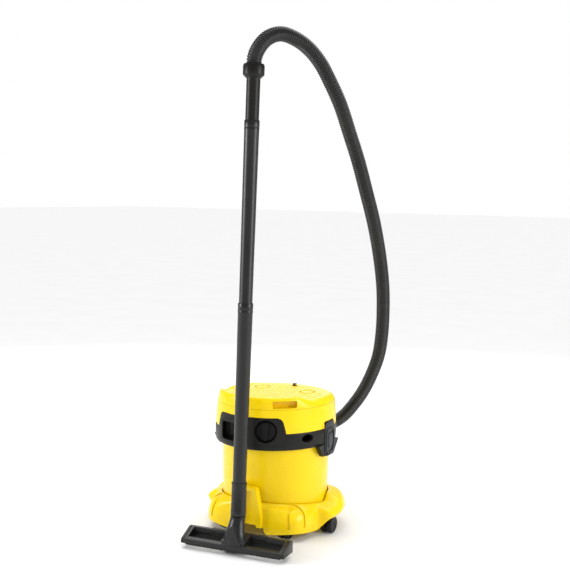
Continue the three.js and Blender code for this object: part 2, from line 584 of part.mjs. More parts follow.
function topCover() {
  const outside = [
    topRing([4.6, 4, PARTING_Z]),
    topRing([6.5, 6, 360], [5.8, 5.4, 366], [7.5, 9, 358.5]),
    topRing([12, 12, 366], [8, 8.5, 379], [13, 20, 363]),
    topRing([19, 20, 370.5], [11.5, 13, LIP_Z], [20, 32, 366.2]),
    topRing([25, 27, 371.5], [15, 17, LIP_Z], [25, 41, 368.2]),
  ];
  const rings = [
    [[0, 0, 363]],
    topRing([41, 48, 363]),
    topRing([17, 19, 359], [17, 19, 359], [19, 32, 358]),
    topRing([8.4, 7.8, PARTING_Z]),
    ...outside,
    topRing([27, 29, 371], [18.5, 21.5, 373], [28, 46, TRAY_Z + 0.6]),
    topRing([30, 32, TRAY_Z], [24, 31, 365.6], [31, 50, TRAY_Z]),
    topRing([35, 37, TRAY_Z], [37, 43, 365.6], [36, 56, TRAY_Z]),
    topRing([39, 42, TRAY_Z], [41, 48, TRAY_Z], [40, 60, TRAY_Z]),
    [[0, 0, TRAY_Z]],
  ];
  let body = solidOf(loft(rings));
  // thin ribs along the tray, left out under the two rings
  for (let x = -108; x <= 108; x += 24) {
    const reach = Math.sqrt(1 - (x / 122) ** 2);
    if (Math.abs(x) < 50 || Math.abs(x) > 90) {
      body = body.add(solidOf(box(x - 0.8, x + 0.8, -124 * reach, 100 * reach, TRAY_Z - 0.5, TRAY_Z + 1)));
    }
  }
  [-RING_X, RING_X].forEach((x) => {
    body = body.add(solidOf(tubeRing(24, 16, TRAY_Z - 7.5, TRAY_Z + 1.2, 24, x, RING_Y)));
    body = cut(body, tubeRing(22, 18.2, TRAY_Z - 4.8, TRAY_Z + 3, 24, x, RING_Y));
  });
  // finger recess in the front wall, right of the middle
  const block = solidOf(outPrism(roundedRect(-38, 36, 354.5, 380, 6, 3), 35, HEAD_B - 41, HEAD_B - 24));
  const inside = solidOf(loft([[[0, 0, PARTING_Z]], ...outside, [[0, 0, 372]]]));
  body = body.add(block.intersect(inside));
  body = cut(body, outPrism(roundedRect(-34, 32, 357, 376, 5, 3), 35, HEAD_B - 35, HEAD_B + 10));
  add("top_cover", body, "yellow");
}

function cableHook() {
  const foot = box(-6, 6, 106, 118, TRAY_Z + 0.3, TRAY_Z + 2);
  const stem = box(-3, 3, 108, 112, TRAY_Z + 1.5, TRAY_Z + 5.4);
  const tip = box(-4.5, 4.5, 108, 119, TRAY_Z + 4.4, TRAY_Z + 6.6);
  add("cable_hook", union(foot, stem, tip), "black");
}

function latches() {
  latchSides((degrees, side) => {
    const { half, top, bottom, back, pinR, pinZ } = LATCH;
    const outline = [
      [-half + 6, bottom], [half - 6, bottom], [half, bottom + 9], [half, top - 12], [half - 6, top],
      [-half + 6, top], [-half, top - 12], [-half, bottom + 9],
    ];
    const plate = outPrism(outline, degrees, back, back + 7.5);
    const dome = [[0, back + 5], [20, back + 5], [18, back + 9], [14, back + 10.5], [0, back + 11]];
    const boss = pointingOut(turned(dome, 28, { squash: 1.15 }), degrees, 252);
    const grip = [[-19, bottom + 1.5], [19, bottom + 1.5], [19, 221], [-19, 221]];
    const lip = outPrism(grip, degrees, back + 5, back + 12);
    const tooth = outPrism([[-19, bottom + 1], [19, bottom + 1], [19, 219.5], [-19, 219.5]], degrees, RIM_R + 1.8, back + 3);
    const x = Math.sin(THREE.MathUtils.degToRad(degrees)) * pinR;
    const pin = placed(cylinder(1.8, -35.5, 35.5, 12), [x, 0, pinZ], [0, 1, 0], [1, 0, 0]);
    const relief = outPrism(roundedRect(-40, 40, pinZ + 2.2, 320, 1, 1), degrees, back - 17, back + 3.5);
    add(`latch_${side}`, cut(union(plate, boss, lip, tooth), relief).add(solidOf(pin)), "black");
  });
}

function motor() {
  const housing = [
    [38, 258.4], [62, 258.4], [62, 291], [9, 291], [9, 288], [58.5, 288], [58.5, 261.5], [38, 261.5],
  ];
  add("fan_housing", turned(housing, 28, { loop: true }), "black");
  let wheel = union(
    tubeRing(54, 5, 281, 283.5, 24), tubeRing(54, 26, 264.5, 266.5, 24), tubeRing(11, 5, 268, 284, 12),
  );
  for (let i = 0; i < 8; i += 1) {
    wheel = wheel.add(solidOf(box(9, 52, -1, 1, 265.5, 282).rotateZ((i * Math.PI) / 4)));
  }
  add("impeller", wheel, "steel");
  add("motor_stator", tubeRing(44, 29.5, 294, 334, 24), "copper");
  const rotor = [[0, 262], [4.4, 262], [4.4, 298], [28, 298], [28, 328], [12, 328], [12, 342], [4.4, 342],
    [4.4, 344.5], [0, 344.5]];
  add("motor_rotor", turned(rotor, 20), "steel");
  const cover = [[46, 291.4], [50, 291.4], [50, 349], [6, 349], [6, 345.5], [46, 345.5]];
  add("motor_housing", turned(cover, 24, { loop: true }), "black");
}

function filterSet() {
  add("head_seal", tubeRing(RIM_R - 0.6, TUB_R - 4, TUB_TOP + 0.3, 254.1, SEG), "rubber");
  // cage that holds the float and carries the filter
  const wall = [[0, 173], [37, 173], [37, 250.6], [58, 250.6], [58, 254], [18, 254], [18, 250.6], [34, 250.6],
    [34, 176], [0, 176]];
  let cage = solidOf(turned(wall, 24));
  for (let i = 0; i < 6; i += 1) {
    const slot = box(20, 50, -9, 9, 184, 240).rotateZ((i * Math.PI) / 3);
    cage = cut(cage, slot);
  }
  add("filter_cage", cage, "black");
  add("float", turned([[0, 180], [20, 180], [30, 186], [31, 226], [26, 232], [0, 232]], 24), "foam");
  const pleats = 28;
  const wave = (radius, z) => Array.from({ length: pleats * 2 }, (_, i) => {
    const t = (i / (pleats * 2)) * 2 * Math.PI;
    const r = i % 2 ? radius : radius - 9;
    return [r * Math.sin(t), -r * Math.cos(t), z];
  });
  const bore = (z) => ring(pleats * 2, 46, 46, z);
  add("cartridge_filter", loft([wave(70, 178), wave(70, 246), bore(246), bore(178)], true), "paper");
  const cap = [
    [0, 160], [13, 160], [16, 162], [16, 165.5], [74, 165.5], [74, 177.4], [71.5, 177.4], [71.5, 169], [39, 169],
    [39, 172.4], [0, 172.4],
  ];
  add("filter_cap", turned(cap, 28), "black");
}

// ---------- wand and nozzle ----------
const onWand = (geometry) => placed(geometry, [WAND.x, WAND.y, 0], [0, WAND.lean, 1], [1, 0, 0]);

function tube(name, [z0, z1]) {
  const profile = [
    [TUBE_BORE_R, z0 - TUBE_INSERT], [TUBE_END_R - 0.5, z0 - TUBE_INSERT], [TUBE_END_R, z0 - TUBE_INSERT + 3],
    [TUBE_END_R + 0.1, z0 + 2], [TUBE_MOUTH_R - 0.4, z1 - 26], [TUBE_MOUTH_R, z1 - 24], [TUBE_MOUTH_R, z1 - 1],
    [TUBE_MOUTH_R - 0.6, z1], [SOCKET_R, z1], [SOCKET_R, z1 - TUBE_INSERT - 2], [TUBE_BORE_R, z1 - TUBE_INSERT - 8],
  ];
  add(name, onWand(turned(profile, 20, { loop: true })), "grey");
}

function hoseCuff() {
  const [z0, z1] = CUFF_Z;
  const end = UPPER_TUBE_Z[1] - TUBE_INSERT;
  const profile = [
    [TUBE_BORE_R, end], [TUBE_END_R - 0.5, end], [TUBE_END_R, end + 3], [TUBE_END_R + 0.4, z0], [TUBE_END_R + 3.8, z0 + 2],
    [27.4, z0 + 8], [27.4, z1 - 4], [25.5, z1], [HOSE_R + 1.4, z1], [HOSE_R + 1.4, z0 + 14], [TUBE_BORE_R, z0 + 10],
  ];
  add("hose_cuff", onWand(turned(profile, 20, { loop: true })), "black");
}

function nozzleSleeve() {
  const [z0, z1] = SLEEVE_Z;
  const profile = [
    [TUBE_BORE_R, z0], [SOCKET_R + 2.2, z0], [SOCKET_R + 1.8, z1 - 3], [SOCKET_R + 2.4, z1 - 3], [SOCKET_R + 2.4, z1],
    [SOCKET_R, z1],
    [SOCKET_R, z1 - TUBE_INSERT - 1.5], [TUBE_BORE_R, z1 - TUBE_INSERT - 5],
  ];
  add("nozzle_sleeve", onWand(turned(profile, 20, { loop: true })), "grey");
}

// Turns a shape built round the nozzle's own centre into its place, where it hangs just above the floor.
function onNozzle(geometry) {
  return geometry.clone().rotateZ(THREE.MathUtils.degToRad(NOZZLE.turn)).translate(NOZZLE.x, NOZZLE.y, NOZZLE.lift);
}

function nozzle() {
  const half = NOZZLE.length / 2;
  const deep = NOZZLE.depth / 2;
  const { rear, front } = NOZZLE;
  const across = (outline, x0, x1) => placed(prism(outline, x0, x1), [0, 0, 0], [1, 0, 0], [0, 1, 0]);
  const end = [
    [-deep, 4], [deep, 4], [deep, rear - 4], [deep - 4, rear], [deep - 14, rear], [-deep + 3, front],
    [-deep, front - 2],
  ];
  const frontBar = [[-deep, 4], [-deep + 13, 4], [-deep + 13, front + 3], [-deep + 3, front], [-deep, front - 2]];
  const rearBar = [
    [deep - 15, 4], [deep, 4], [deep, rear - 4], [deep - 4, rear], [deep - 14, rear], [deep - 15, rear - 2],
  ];
  const raised = [
    [deep - 16, 20], [deep, 20], [deep, rear - 1], [deep - 4, rear + 3], [deep - 13, rear + 3], [deep - 16, rear],
  ];
  const middle = [
    [-deep, 4], [deep, 4], [deep, rear], [deep - 12, rear + 2], [-deep + 6, front + 8], [-deep, front],
  ];
  const gusset = [[-27, front - 2], [27, front - 2], [12, 44], [6, 62], [-6, 62], [-12, 44]];
  let body = union(
    across(frontBar, -half + 7.4, half - 7.4), across(rearBar, -half + 7.4, half - 7.4),
    across(end, -half + 7.4, -half + 16), across(end, half - 16, half - 7.4),
    across(raised, -78, 78), across(middle, -33, 33),
    placed(prism(gusset, 8, deep - 1), [-1, 0, 0], [0, -1, 0], [1, 0, 0]),
  );
  body = solidOf(onNozzle(geometryOf(body)));
  const neckAt = (z) => [WAND.x, WAND.y + WAND.lean * z];
  const [tx, ty] = neckAt(SLEEVE_Z[0]);
  const foot = NOZZLE.lift;
  const neck = loft([
    [[28, -279, foot + 18]], ring(28, 33, 24, foot + 18, 28, -279), ring(28, 27, 23.5, foot + 42, 28, -276.5),
    ring(28, 21.5, 21, foot + 61, 27, -268), ring(28, SOCKET_R + 2, SOCKET_R + 1.8, 84, tx, ty - 3),
    ring(28, SOCKET_R + 1.8, SOCKET_R + 1.8, 92.5, tx, ty),
    [[tx, ty, 92.5]],
  ]);
  const duct = loft([
    [[28, -276, foot - 2]], ring(20, 24, 18, foot - 2, 28, -276), ring(20, 22, 18, foot + 28, 28, -276),
    ring(20, 16.5, 16.5, foot + 60, 27, -268), ring(20, TUBE_BORE_R, TUBE_BORE_R, 84, tx, ty - 3),
    ring(20, TUBE_BORE_R, TUBE_BORE_R, 110, tx, ty), [[tx, ty, 110]],
  ]);
  body = cut(body.add(solidOf(neck)), duct);
  [-deep + 4, deep - 8].forEach((y) => {
    body = cut(body, onNozzle(box(-half + 11, half - 11, y - GAP, y + 4 + GAP, -1, 10)));
  });
  add("nozzle_body", body, "grey");
  add("nozzle_front_strip", onNozzle(box(-half + 12, half - 12, -deep + 4, -deep + 8, 0, 9.6)), "rubber");
  add("nozzle_rear_strip", onNozzle(box(-half + 12, half - 12, deep - 8, deep - 4, 0, 9.6)), "rubber");
  add("nozzle_end_cap_left", onNozzle(across(end, -half, -half + 7)), "grey");
  add("nozzle_end_cap_right", onNozzle(across(end, half - 7, half)), "grey");
}

// ---------- assembly ----------
container();
chassis();
CASTERS.forEach(caster);
inletPort();
inletElbow();
hoseConnector();
hose();
headBase();
headCover();
cordGland();
controlPanel();
rotarySwitch();
topCover();
cableHook();
latches();
motor();
filterSet();
nozzleSleeve();
tube("lower_tube", LOWER_TUBE_Z);
tube("upper_tube", UPPER_TUBE_Z);
hoseCuff();
nozzle();

const bounds = new THREE.Box3();
machine.children.filter((mesh) => mesh.name !== "suction_hose").forEach((mesh) => bounds.expandByObject(mesh));
const centre = bounds.getCenter(new THREE.Vector3());
machine.position.set(-centre.x, -centre.y, -bounds.min.z);
machine.updateMatrixWorld(true);

export default machine;
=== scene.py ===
"""A wet and dry drum vacuum with its hose, wand and floor nozzle. Shapes are in millimetres about
the drum's axis, with the machine's front facing -Y, and are scaled to metres and moved to the
model's frame as they are placed."""

import math

import bmesh
import bpy
from mathutils import Matrix, Vector


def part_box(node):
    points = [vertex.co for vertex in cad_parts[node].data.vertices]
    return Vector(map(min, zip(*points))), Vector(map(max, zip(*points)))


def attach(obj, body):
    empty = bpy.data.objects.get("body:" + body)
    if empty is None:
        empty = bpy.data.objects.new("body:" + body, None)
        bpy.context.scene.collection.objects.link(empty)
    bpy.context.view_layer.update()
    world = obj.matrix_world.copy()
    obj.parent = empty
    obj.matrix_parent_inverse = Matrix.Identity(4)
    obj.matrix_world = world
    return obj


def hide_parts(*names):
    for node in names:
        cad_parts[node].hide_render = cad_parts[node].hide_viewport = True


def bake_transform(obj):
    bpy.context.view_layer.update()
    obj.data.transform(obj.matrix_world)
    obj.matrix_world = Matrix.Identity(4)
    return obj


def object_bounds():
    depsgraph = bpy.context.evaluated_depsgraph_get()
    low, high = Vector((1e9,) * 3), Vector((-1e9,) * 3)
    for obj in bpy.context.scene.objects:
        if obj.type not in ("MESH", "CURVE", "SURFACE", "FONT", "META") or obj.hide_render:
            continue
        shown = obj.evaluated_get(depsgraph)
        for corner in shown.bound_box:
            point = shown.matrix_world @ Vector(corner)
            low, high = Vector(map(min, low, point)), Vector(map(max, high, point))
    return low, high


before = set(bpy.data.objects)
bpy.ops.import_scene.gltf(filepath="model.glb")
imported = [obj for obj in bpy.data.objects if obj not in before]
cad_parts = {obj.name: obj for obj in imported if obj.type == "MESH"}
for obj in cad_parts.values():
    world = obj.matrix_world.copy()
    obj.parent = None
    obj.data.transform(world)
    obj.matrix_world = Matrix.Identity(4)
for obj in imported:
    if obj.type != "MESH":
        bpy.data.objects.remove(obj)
cad_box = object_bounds()

MM = 0.001
drum_low, drum_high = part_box("container")
AXIS = Vector(((drum_low[0] + drum_high[0]) / 2, (drum_low[1] + drum_high[1]) / 2, 0))
SEG = 144
NOISE_LOW, NOISE_HIGH = 0.3, 0.7
WORLD_LIGHT = 0.3
INLET_Z = 208


def point(x, y, z):
    return Vector((x * MM, y * MM, z * MM)) + AXIS


# ---------- camera ----------
CAMERA_TURN = 27
CAMERA_YAW, CAMERA_PITCH, CAMERA_ROLL = 0.36, 5.25, -1.0
CAMERA_AWAY, CAMERA_HEIGHT = 2.8, 0.925
SENSOR_WIDTH, LENS = 36, 64.4


def make_camera():
    turn = math.radians(CAMERA_TURN)
    away = Vector((math.sin(turn), -math.cos(turn), 0))
    right = Vector((math.cos(turn), math.sin(turn), 0))
    yaw, pitch, roll = (math.radians(a) for a in (CAMERA_YAW, CAMERA_PITCH, CAMERA_ROLL))
    level = -away * math.cos(yaw) + right * math.sin(yaw)
    right = right * math.cos(yaw) + away * math.sin(yaw)
    look = level * math.cos(pitch) - Vector((0, 0, math.sin(pitch)))
    up = right.cross(look)
    x_axis = right * math.cos(roll) - up * math.sin(roll)
    y_axis = up * math.cos(roll) + right * math.sin(roll)
    place = AXIS + away * CAMERA_AWAY + Vector((0, 0, CAMERA_HEIGHT))
    data = bpy.data.cameras.new("camera")
    data.sensor_width = SENSOR_WIDTH
    data.lens = LENS
    camera = bpy.data.objects.new("camera", data)
    axes = Matrix((x_axis, y_axis, -look)).transposed().to_4x4()
    camera.matrix_world = Matrix.Translation(place) @ axes
    bpy.context.collection.objects.link(camera)
    bpy.context.scene.camera = camera


# ---------- mesh helpers ----------


def solid(verts, faces):
    data = bpy.data.meshes.new("solid")
    data.from_pydata([tuple(v) for v in verts], [], faces)
    made = bpy.data.objects.new("solid", data)
    bpy.context.collection.objects.link(made)
    face_out(made)
    return made


def face_out(made):
    work = bmesh.new()
    work.from_mesh(made.data)
    bmesh.ops.remove_doubles(work, verts=work.verts, dist=1e-5)
    bmesh.ops.recalc_face_normals(work, faces=work.faces)
    if work.calc_volume(signed=True) < 0:
        bmesh.ops.reverse_faces(work, faces=work.faces)
    work.to_mesh(made.data)
    work.free()


def loft(rings, loop=False):
    """A closed solid through rings of points. A ring of one point is a pole, and an open end
    gets a cap."""
    verts, starts = [], []
    for one in rings:
        starts.append(len(verts))
        verts.extend(one)
    faces = []
    pairs = len(rings) if loop else len(rings) - 1
    for k in range(pairs):
        n = (k + 1) % len(rings)
        low, high = len(rings[k]), len(rings[n])
        count = max(low, high)
        for i in range(count):
            j = (i + 1) % count
            face = [starts[k]] if low == 1 else [starts[k] + i, starts[k] + j]
            face += [starts[n]] if high == 1 else [starts[n] + j, starts[n] + i]
            faces.append(face)
    if not loop:
        for k in (0, len(rings) - 1):
            if len(rings[k]) > 1:
                faces.append([starts[k] + i for i in range(len(rings[k]))])
    return solid(verts, faces)


def ring(a, b, z, seg=SEG, x=0.0, y=0.0):
    turns = [2 * math.pi * i / seg for i in range(seg)]
    return [(x + a * math.sin(t), y - b * math.cos(t), z) for t in turns]


def turned(profile, seg=64, loop=False, squash=1.0, x=0.0, y=0.0):
    return loft(
        [[(x, y, z)] if r == 0 else ring(r, r * squash, z, seg, x, y) for r, z in profile], loop
    )


def cylinder(r, z0, z1, seg=32, x=0.0, y=0.0):
    return turned([(0, z0), (r, z0), (r, z1), (0, z1)], seg, x=x, y=y)


def prism(outline, z0, z1):
    return loft([[(u, v, z0) for u, v in outline], [(u, v, z1) for u, v in outline]])


def box(x0, x1, y0, y1, z0, z1):
    return prism([(x0, y0), (x1, y0), (x1, y1), (x0, y1)], z0, z1)


def round_rect(x0, x1, z0, z1, r, steps=6):
    corners = [
        (x1 - r, z1 - r, 0), (x0 + r, z1 - r, 90), (x0 + r, z0 + r, 180), (x1 - r, z0 + r, 270)
    ]
    points = []
    for cx, cz, start in corners:
        for i in range(steps + 1):
            t = math.radians(start + 90 * i / steps)
            points.append((cx + r * math.cos(t), cz + r * math.sin(t)))
    return points


def placed(made, origin, out, across):
    """Moves a shape built along +Z so that its Z runs along out and its X along across."""
    z = Vector(out).normalized()
    x = Vector(across)
    x = (x - z * x.dot(z)).normalized()
    y = z.cross(x)
    made.data.transform(
        Matrix.Translation(Vector(origin)) @ Matrix((x, y, z)).transposed().to_4x4()
    )
    return made


def pointing_out(made, degrees, height=0.0):
    t = math.radians(degrees)
    return placed(
        made, (0, 0, height), (math.sin(t), -math.cos(t), 0), (math.cos(t), math.sin(t), 0)
    )


def out_prism(outline, degrees, r0, r1):
    return pointing_out(prism(outline, r0, r1), degrees)


def apply_change(made):
    graph = bpy.context.evaluated_depsgraph_get()
    result = bpy.data.meshes.new_from_object(made.evaluated_get(graph))
    made.modifiers.clear()
    made.data = result


def combine(made, tool, how):
    change = made.modifiers.new("combine", "BOOLEAN")
    change.operation = how
    change.solver = "MANIFOLD"
    change.object = tool
    apply_change(made)
    bpy.data.objects.remove(tool)
    return made


def union(made, *tools):
    for tool in tools:
        combine(made, tool, "UNION")
    return made


def cut(made, *tools):
    for tool in tools:
        combine(made, tool, "DIFFERENCE")
    return made


def overlap(made, tool):
    return combine(made, tool, "INTERSECT")


def smooth_rows(rows, steps):
    """Rings between the given ones, on a smooth curve through each point's place in them."""
    out = []
    for k in range(len(rows) - 1):
        a, b, c, d = rows[max(k - 1, 0)], rows[k], rows[k + 1], rows[min(k + 2, len(rows) - 1)]
        for s in range(steps):
            t = s / steps
            out.append([curve_point(p, t) for p in zip(a, b, c, d)])
    return out + [rows[-1]]


def curve_point(four, t):
    a, b, c, d = (Vector(p) for p in four)
    return 0.5 * (
        2 * b + (c - a) * t + (2 * a - 5 * b + 4 * c - d) * t * t + (3 * b - a - 3 * c + d) * t**3
    )


def smoothstep(x, a, b):
    t = min(max((x - a) / (b - a), 0), 1)
    return t * t * (3 - 2 * t)


ROUNDED_ANGLE = 35


def round_edges(made, width, steps=2):
    change = made.modifiers.new("round", "BEVEL")
    change.width = width
    change.segments = steps
    change.limit_method = "ANGLE"
    change.angle_limit = math.radians(ROUNDED_ANGLE)
    apply_change(made)
    return made


def finish(made, name, look, body, *nodes, sharp=32, slot=None):
    """Scales a shape to metres, puts it in the model's frame and gives it its name, material and
    body."""
    made.data.transform(Matrix.Translation(AXIS) @ Matrix.Scale(MM, 4))
    made.name = name
    made.data.name = name
    made.data.materials.clear()
    made.data.materials.append(look)
    made.data.shade_smooth()
    made.data.set_sharp_from_angle(angle=math.radians(sharp))
    if nodes:
        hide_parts(*nodes)
    if body:
        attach(made, body)
    return made


# ---------- materials ----------


def new_material(name):
    look = bpy.data.materials.new(name)
    look.use_nodes = True
    tree = look.node_tree
    shader = tree.nodes["Principled BSDF"]
    return look, tree, shader


def noise(tree, scale, detail=4.0, stretch=(1, 1, 1)):
    where = tree.nodes.new("ShaderNodeTexCoord")
    mapping = tree.nodes.new("ShaderNodeMapping")
    mapping.inputs["Scale"].default_value = stretch
    texture = tree.nodes.new("ShaderNodeTexNoise")
    texture.inputs["Scale"].default_value = scale
    texture.inputs["Detail"].default_value = detail
    tree.links.new(where.outputs["Object"], mapping.inputs["Vector"])
    tree.links.new(mapping.outputs["Vector"], texture.inputs["Vector"])
    return texture.outputs["Fac"]


def ramp(tree, value, low, high):
    made = tree.nodes.new("ShaderNodeValToRGB")
    made.color_ramp.elements[0].position = NOISE_LOW
    made.color_ramp.elements[1].position = NOISE_HIGH
    made.color_ramp.elements[0].color = (*low, 1)
    made.color_ramp.elements[1].color = (*high, 1)
    tree.links.new(value, made.inputs["Fac"])
    return made.outputs["Color"]


def spread(tree, value, low, high):
    made = tree.nodes.new("ShaderNodeMapRange")
    made.inputs["From Min"].default_value = NOISE_LOW
    made.inputs["From Max"].default_value = NOISE_HIGH
    made.inputs["To Min"].default_value = low
    made.inputs["To Max"].default_value = high
    tree.links.new(value, made.inputs["Value"])
    return made.outputs["Result"]


def bump(tree, value, strength, distance, normal=None):
    made = tree.nodes.new("ShaderNodeBump")
    made.inputs["Strength"].default_value = strength
    made.inputs["Distance"].default_value = distance
    tree.links.new(value, made.inputs["Height"])
    if normal is not None:
        tree.links.new(normal, made.inputs["Normal"])
    return made.outputs["Normal"]


def painted_edge_highlight(tree, colour, highlight_colour, rounded, amount):
    """Paints a highlight along edges: mixes in a lighter colour where the rounded normal turns
    away from the face's own."""
    face = tree.nodes.new("ShaderNodeNewGeometry")
    same = tree.nodes.new("ShaderNodeVectorMath")
    same.operation = "DOT_PRODUCT"
    tree.links.new(face.outputs["Normal"], same.inputs[0])
    tree.links.new(rounded, same.inputs[1])
    edge = tree.nodes.new("ShaderNodeMapRange")
    edge.inputs["From Min"].default_value = 0.995
    edge.inputs["From Max"].default_value = 0.85
    edge.inputs["To Min"].default_value = 0
    edge.inputs["To Max"].default_value = amount
    tree.links.new(same.outputs["Value"], edge.inputs["Value"])
    mix = tree.nodes.new("ShaderNodeMix")
    mix.data_type = "RGBA"
    tree.links.new(edge.outputs["Result"], mix.inputs["Factor"])
    tree.links.new(colour, mix.inputs[6])
    mix.inputs[7].default_value = (*highlight_colour, 1)
    return mix.outputs[2]


def plastic(name, low, high, rough, grain=0.12, radius=1.0, edge=None, shine=0.5):
    """Moulded plastic: faint colour drift, fine grain, uneven gloss and rounded edges. An edge
    colour adds a painted highlight along the edges.
    """
    look, tree, shader = new_material(name)
    rounded = tree.nodes.new("ShaderNodeBevel")
    rounded.samples = 4
    rounded.inputs["Radius"].default_value = radius * MM
    colour = ramp(tree, noise(tree, 14, 3), low, high)
    # a lighter colour along the rounded edges, painted in as a highlight
    if edge:
        colour = painted_edge_highlight(tree, colour, edge, rounded.outputs["Normal"], 0.35)
    tree.links.new(colour, shader.inputs["Base Color"])
    tree.links.new(
        spread(tree, noise(tree, 60, 5), rough - 0.015, rough + 0.02), shader.inputs["Roughness"]
    )
    fine = bump(tree, noise(tree, 1600, 2), grain, 0.0002, rounded.outputs["Normal"])
    tree.links.new(bump(tree, noise(tree, 9, 2), 0.05, 0.0008, fine), shader.inputs["Normal"])
    shader.inputs["IOR"].default_value = 1.5
    shader.inputs["Specular IOR Level"].default_value = shine
    return look


def metal(name, low, high, rough, stretch):
    look, tree, shader = new_material(name)
    tree.links.new(ramp(tree, noise(tree, 220, 4, stretch), low, high), shader.inputs["Base Color"])
    tree.links.new(
        spread(tree, noise(tree, 300, 4, stretch), rough - 0.08, rough + 0.1),
        shader.inputs["Roughness"]
    )
    tree.links.new(bump(tree, noise(tree, 500, 3, stretch), 0.1, 0.0003), shader.inputs["Normal"])
    shader.inputs["Metallic"].default_value = 1.0
    return look


def fibrous(name, low, high, scale):
    """Paper or foam: matt, with a fibrous or open surface."""
    look, tree, shader = new_material(name)
    tree.links.new(ramp(tree, noise(tree, scale, 6), low, high), shader.inputs["Base Color"])
    tree.links.new(bump(tree, noise(tree, scale * 2, 6), 0.4, 0.0006), shader.inputs["Normal"])
    shader.inputs["Roughness"].default_value = 0.92
    return look


def make_materials():
    # light grey painted along the edges of the dark parts as a highlight
    edge_highlight_grey = (0.055, 0.056, 0.056)
    return {
        "yellow": plastic(
            "yellow_plastic", (0.92, 0.64, 0.0006), (0.96, 0.68, 0.001), 0.28, radius=1.3, shine=0.3
        ),
        "black": plastic(
            "black_plastic", (0.009, 0.0085, 0.007), (0.013, 0.0125, 0.011), 0.38, edge=edge_highlight_grey,
            shine=0.2
        ),
        "niche": plastic(
            "niche_plastic", (0.005, 0.005, 0.005), (0.008, 0.008, 0.008), 0.5, shine=0.15
        ),
        "latch": plastic(
            "latch_plastic", (0.017, 0.019, 0.02), (0.023, 0.025, 0.026), 0.4,
            # the latch's edge colour is a painted highlight along its rounded edges
            edge=(0.09, 0.1, 0.1), shine=0.35
        ),
        "tube": plastic(
            "tube_plastic", (0.008, 0.008, 0.0075), (0.012, 0.012, 0.0115), 0.34, edge=edge_highlight_grey,
            shine=0.4
        ),
        "wheel": plastic(
            "wheel_plastic", (0.009, 0.009, 0.0095), (0.014, 0.014, 0.014), 0.42, edge=edge_highlight_grey,
            shine=0.2
        ),
        "rubber": plastic(
            "seal_rubber", (0.012, 0.012, 0.012), (0.02, 0.02, 0.02), 0.72, grain=0.3, radius=0.5,
            shine=0.3
        ),
        "hose": plastic(
            "hose_plastic", (0.012, 0.012, 0.0115), (0.018, 0.018, 0.017), 0.36, grain=0.08,
            radius=0.3, shine=0.4
        ),
        "steel": metal("turned_steel", (0.45, 0.45, 0.46), (0.62, 0.62, 0.63), 0.3, (1, 1, 12)),
        "aluminium": metal(
            "pressed_aluminium", (0.62, 0.62, 0.64), (0.8, 0.8, 0.82), 0.35, (4, 4, 1)
        ),
        "copper": metal("copper_winding", (0.42, 0.16, 0.05), (0.62, 0.28, 0.1), 0.35, (1, 1, 30)),
        "paper": fibrous("filter_paper", (0.68, 0.64, 0.54), (0.8, 0.77, 0.68), 300),
        "foam": fibrous("float_foam", (0.2, 0.2, 0.215), (0.3, 0.3, 0.32), 500),
    }


# ---------- hose ----------
HOSE_R = 19.6
HOSE_ROUTE = [
    (0, 208, INLET_Z), (0, 230, INLET_Z), (3, 252, 209), (16, 274, 214), (40, 290, 227),
    (73, 298, 251), (106, 301, 290), (138, 301, 338), (164, 301, 393), (184, 297, 448),
    (197, 286, 516), (205, 270, 588), (210, 249, 660), (210, 216, 752), (206, 176, 844),
    (198, 135, 928), (188, 96, 1012), (176, 64, 1080), (161, 28, 1158), (144, -4, 1216),
    (128, -30, 1260), (108, -58, 1294), (86, -90, 1316), (62, -128, 1326), (43, -162, 1314),
    (32, -190, 1288), (26.6, -205.4, 1260), (26, -208.2, 1232),
]


def centripetal(points, per_span):
    """Points on a centripetal curve through the given ones."""
    p = [Vector(q) for q in points]
    p = [2 * p[0] - p[1], *p, 2 * p[-1] - p[-2]]
    out = []
    for k in range(1, len(p) - 2):
        a, b, c, d = p[k - 1 : k + 3]
        t0 = 0.0
        t1 = t0 + (b - a).length ** 0.5
        t2 = t1 + (c - b).length ** 0.5
        t3 = t2 + (d - c).length ** 0.5
        for s in range(per_span):
            t = t1 + (t2 - t1) * s / per_span
            a1 = a * ((t1 - t) / (t1 - t0)) + b * ((t - t0) / (t1 - t0))
            a2 = b * ((t2 - t) / (t2 - t1)) + c * ((t - t1) / (t2 - t1))
            a3 = c * ((t3 - t) / (t3 - t2)) + d * ((t - t2) / (t3 - t2))
            b1 = a1 * ((t2 - t) / (t2 - t0)) + a2 * ((t - t0) / (t2 - t0))
            b2 = a2 * ((t3 - t) / (t3 - t1)) + a3 * ((t - t1) / (t3 - t1))
            out.append(b1 * ((t2 - t) / (t2 - t1)) + b2 * ((t - t1) / (t2 - t1)))
    return out + [p[-2]]


def even_steps(points, step):
    """The same route with points an even step apart, and its length."""
    total = sum((b - a).length for a, b in zip(points, points[1:]))
    count = round(total / step)
    step = total / count
    out, walked, k = [points[0]], 0.0, 0
    for i in range(1, count):
        goal = i * step
        while walked + (points[k + 1] - points[k]).length < goal:
            walked += (points[k + 1] - points[k]).length
            k += 1
        share = (goal - walked) / (points[k + 1] - points[k]).length
        out.append(points[k].lerp(points[k + 1], share))
    return out + [points[-1]], total


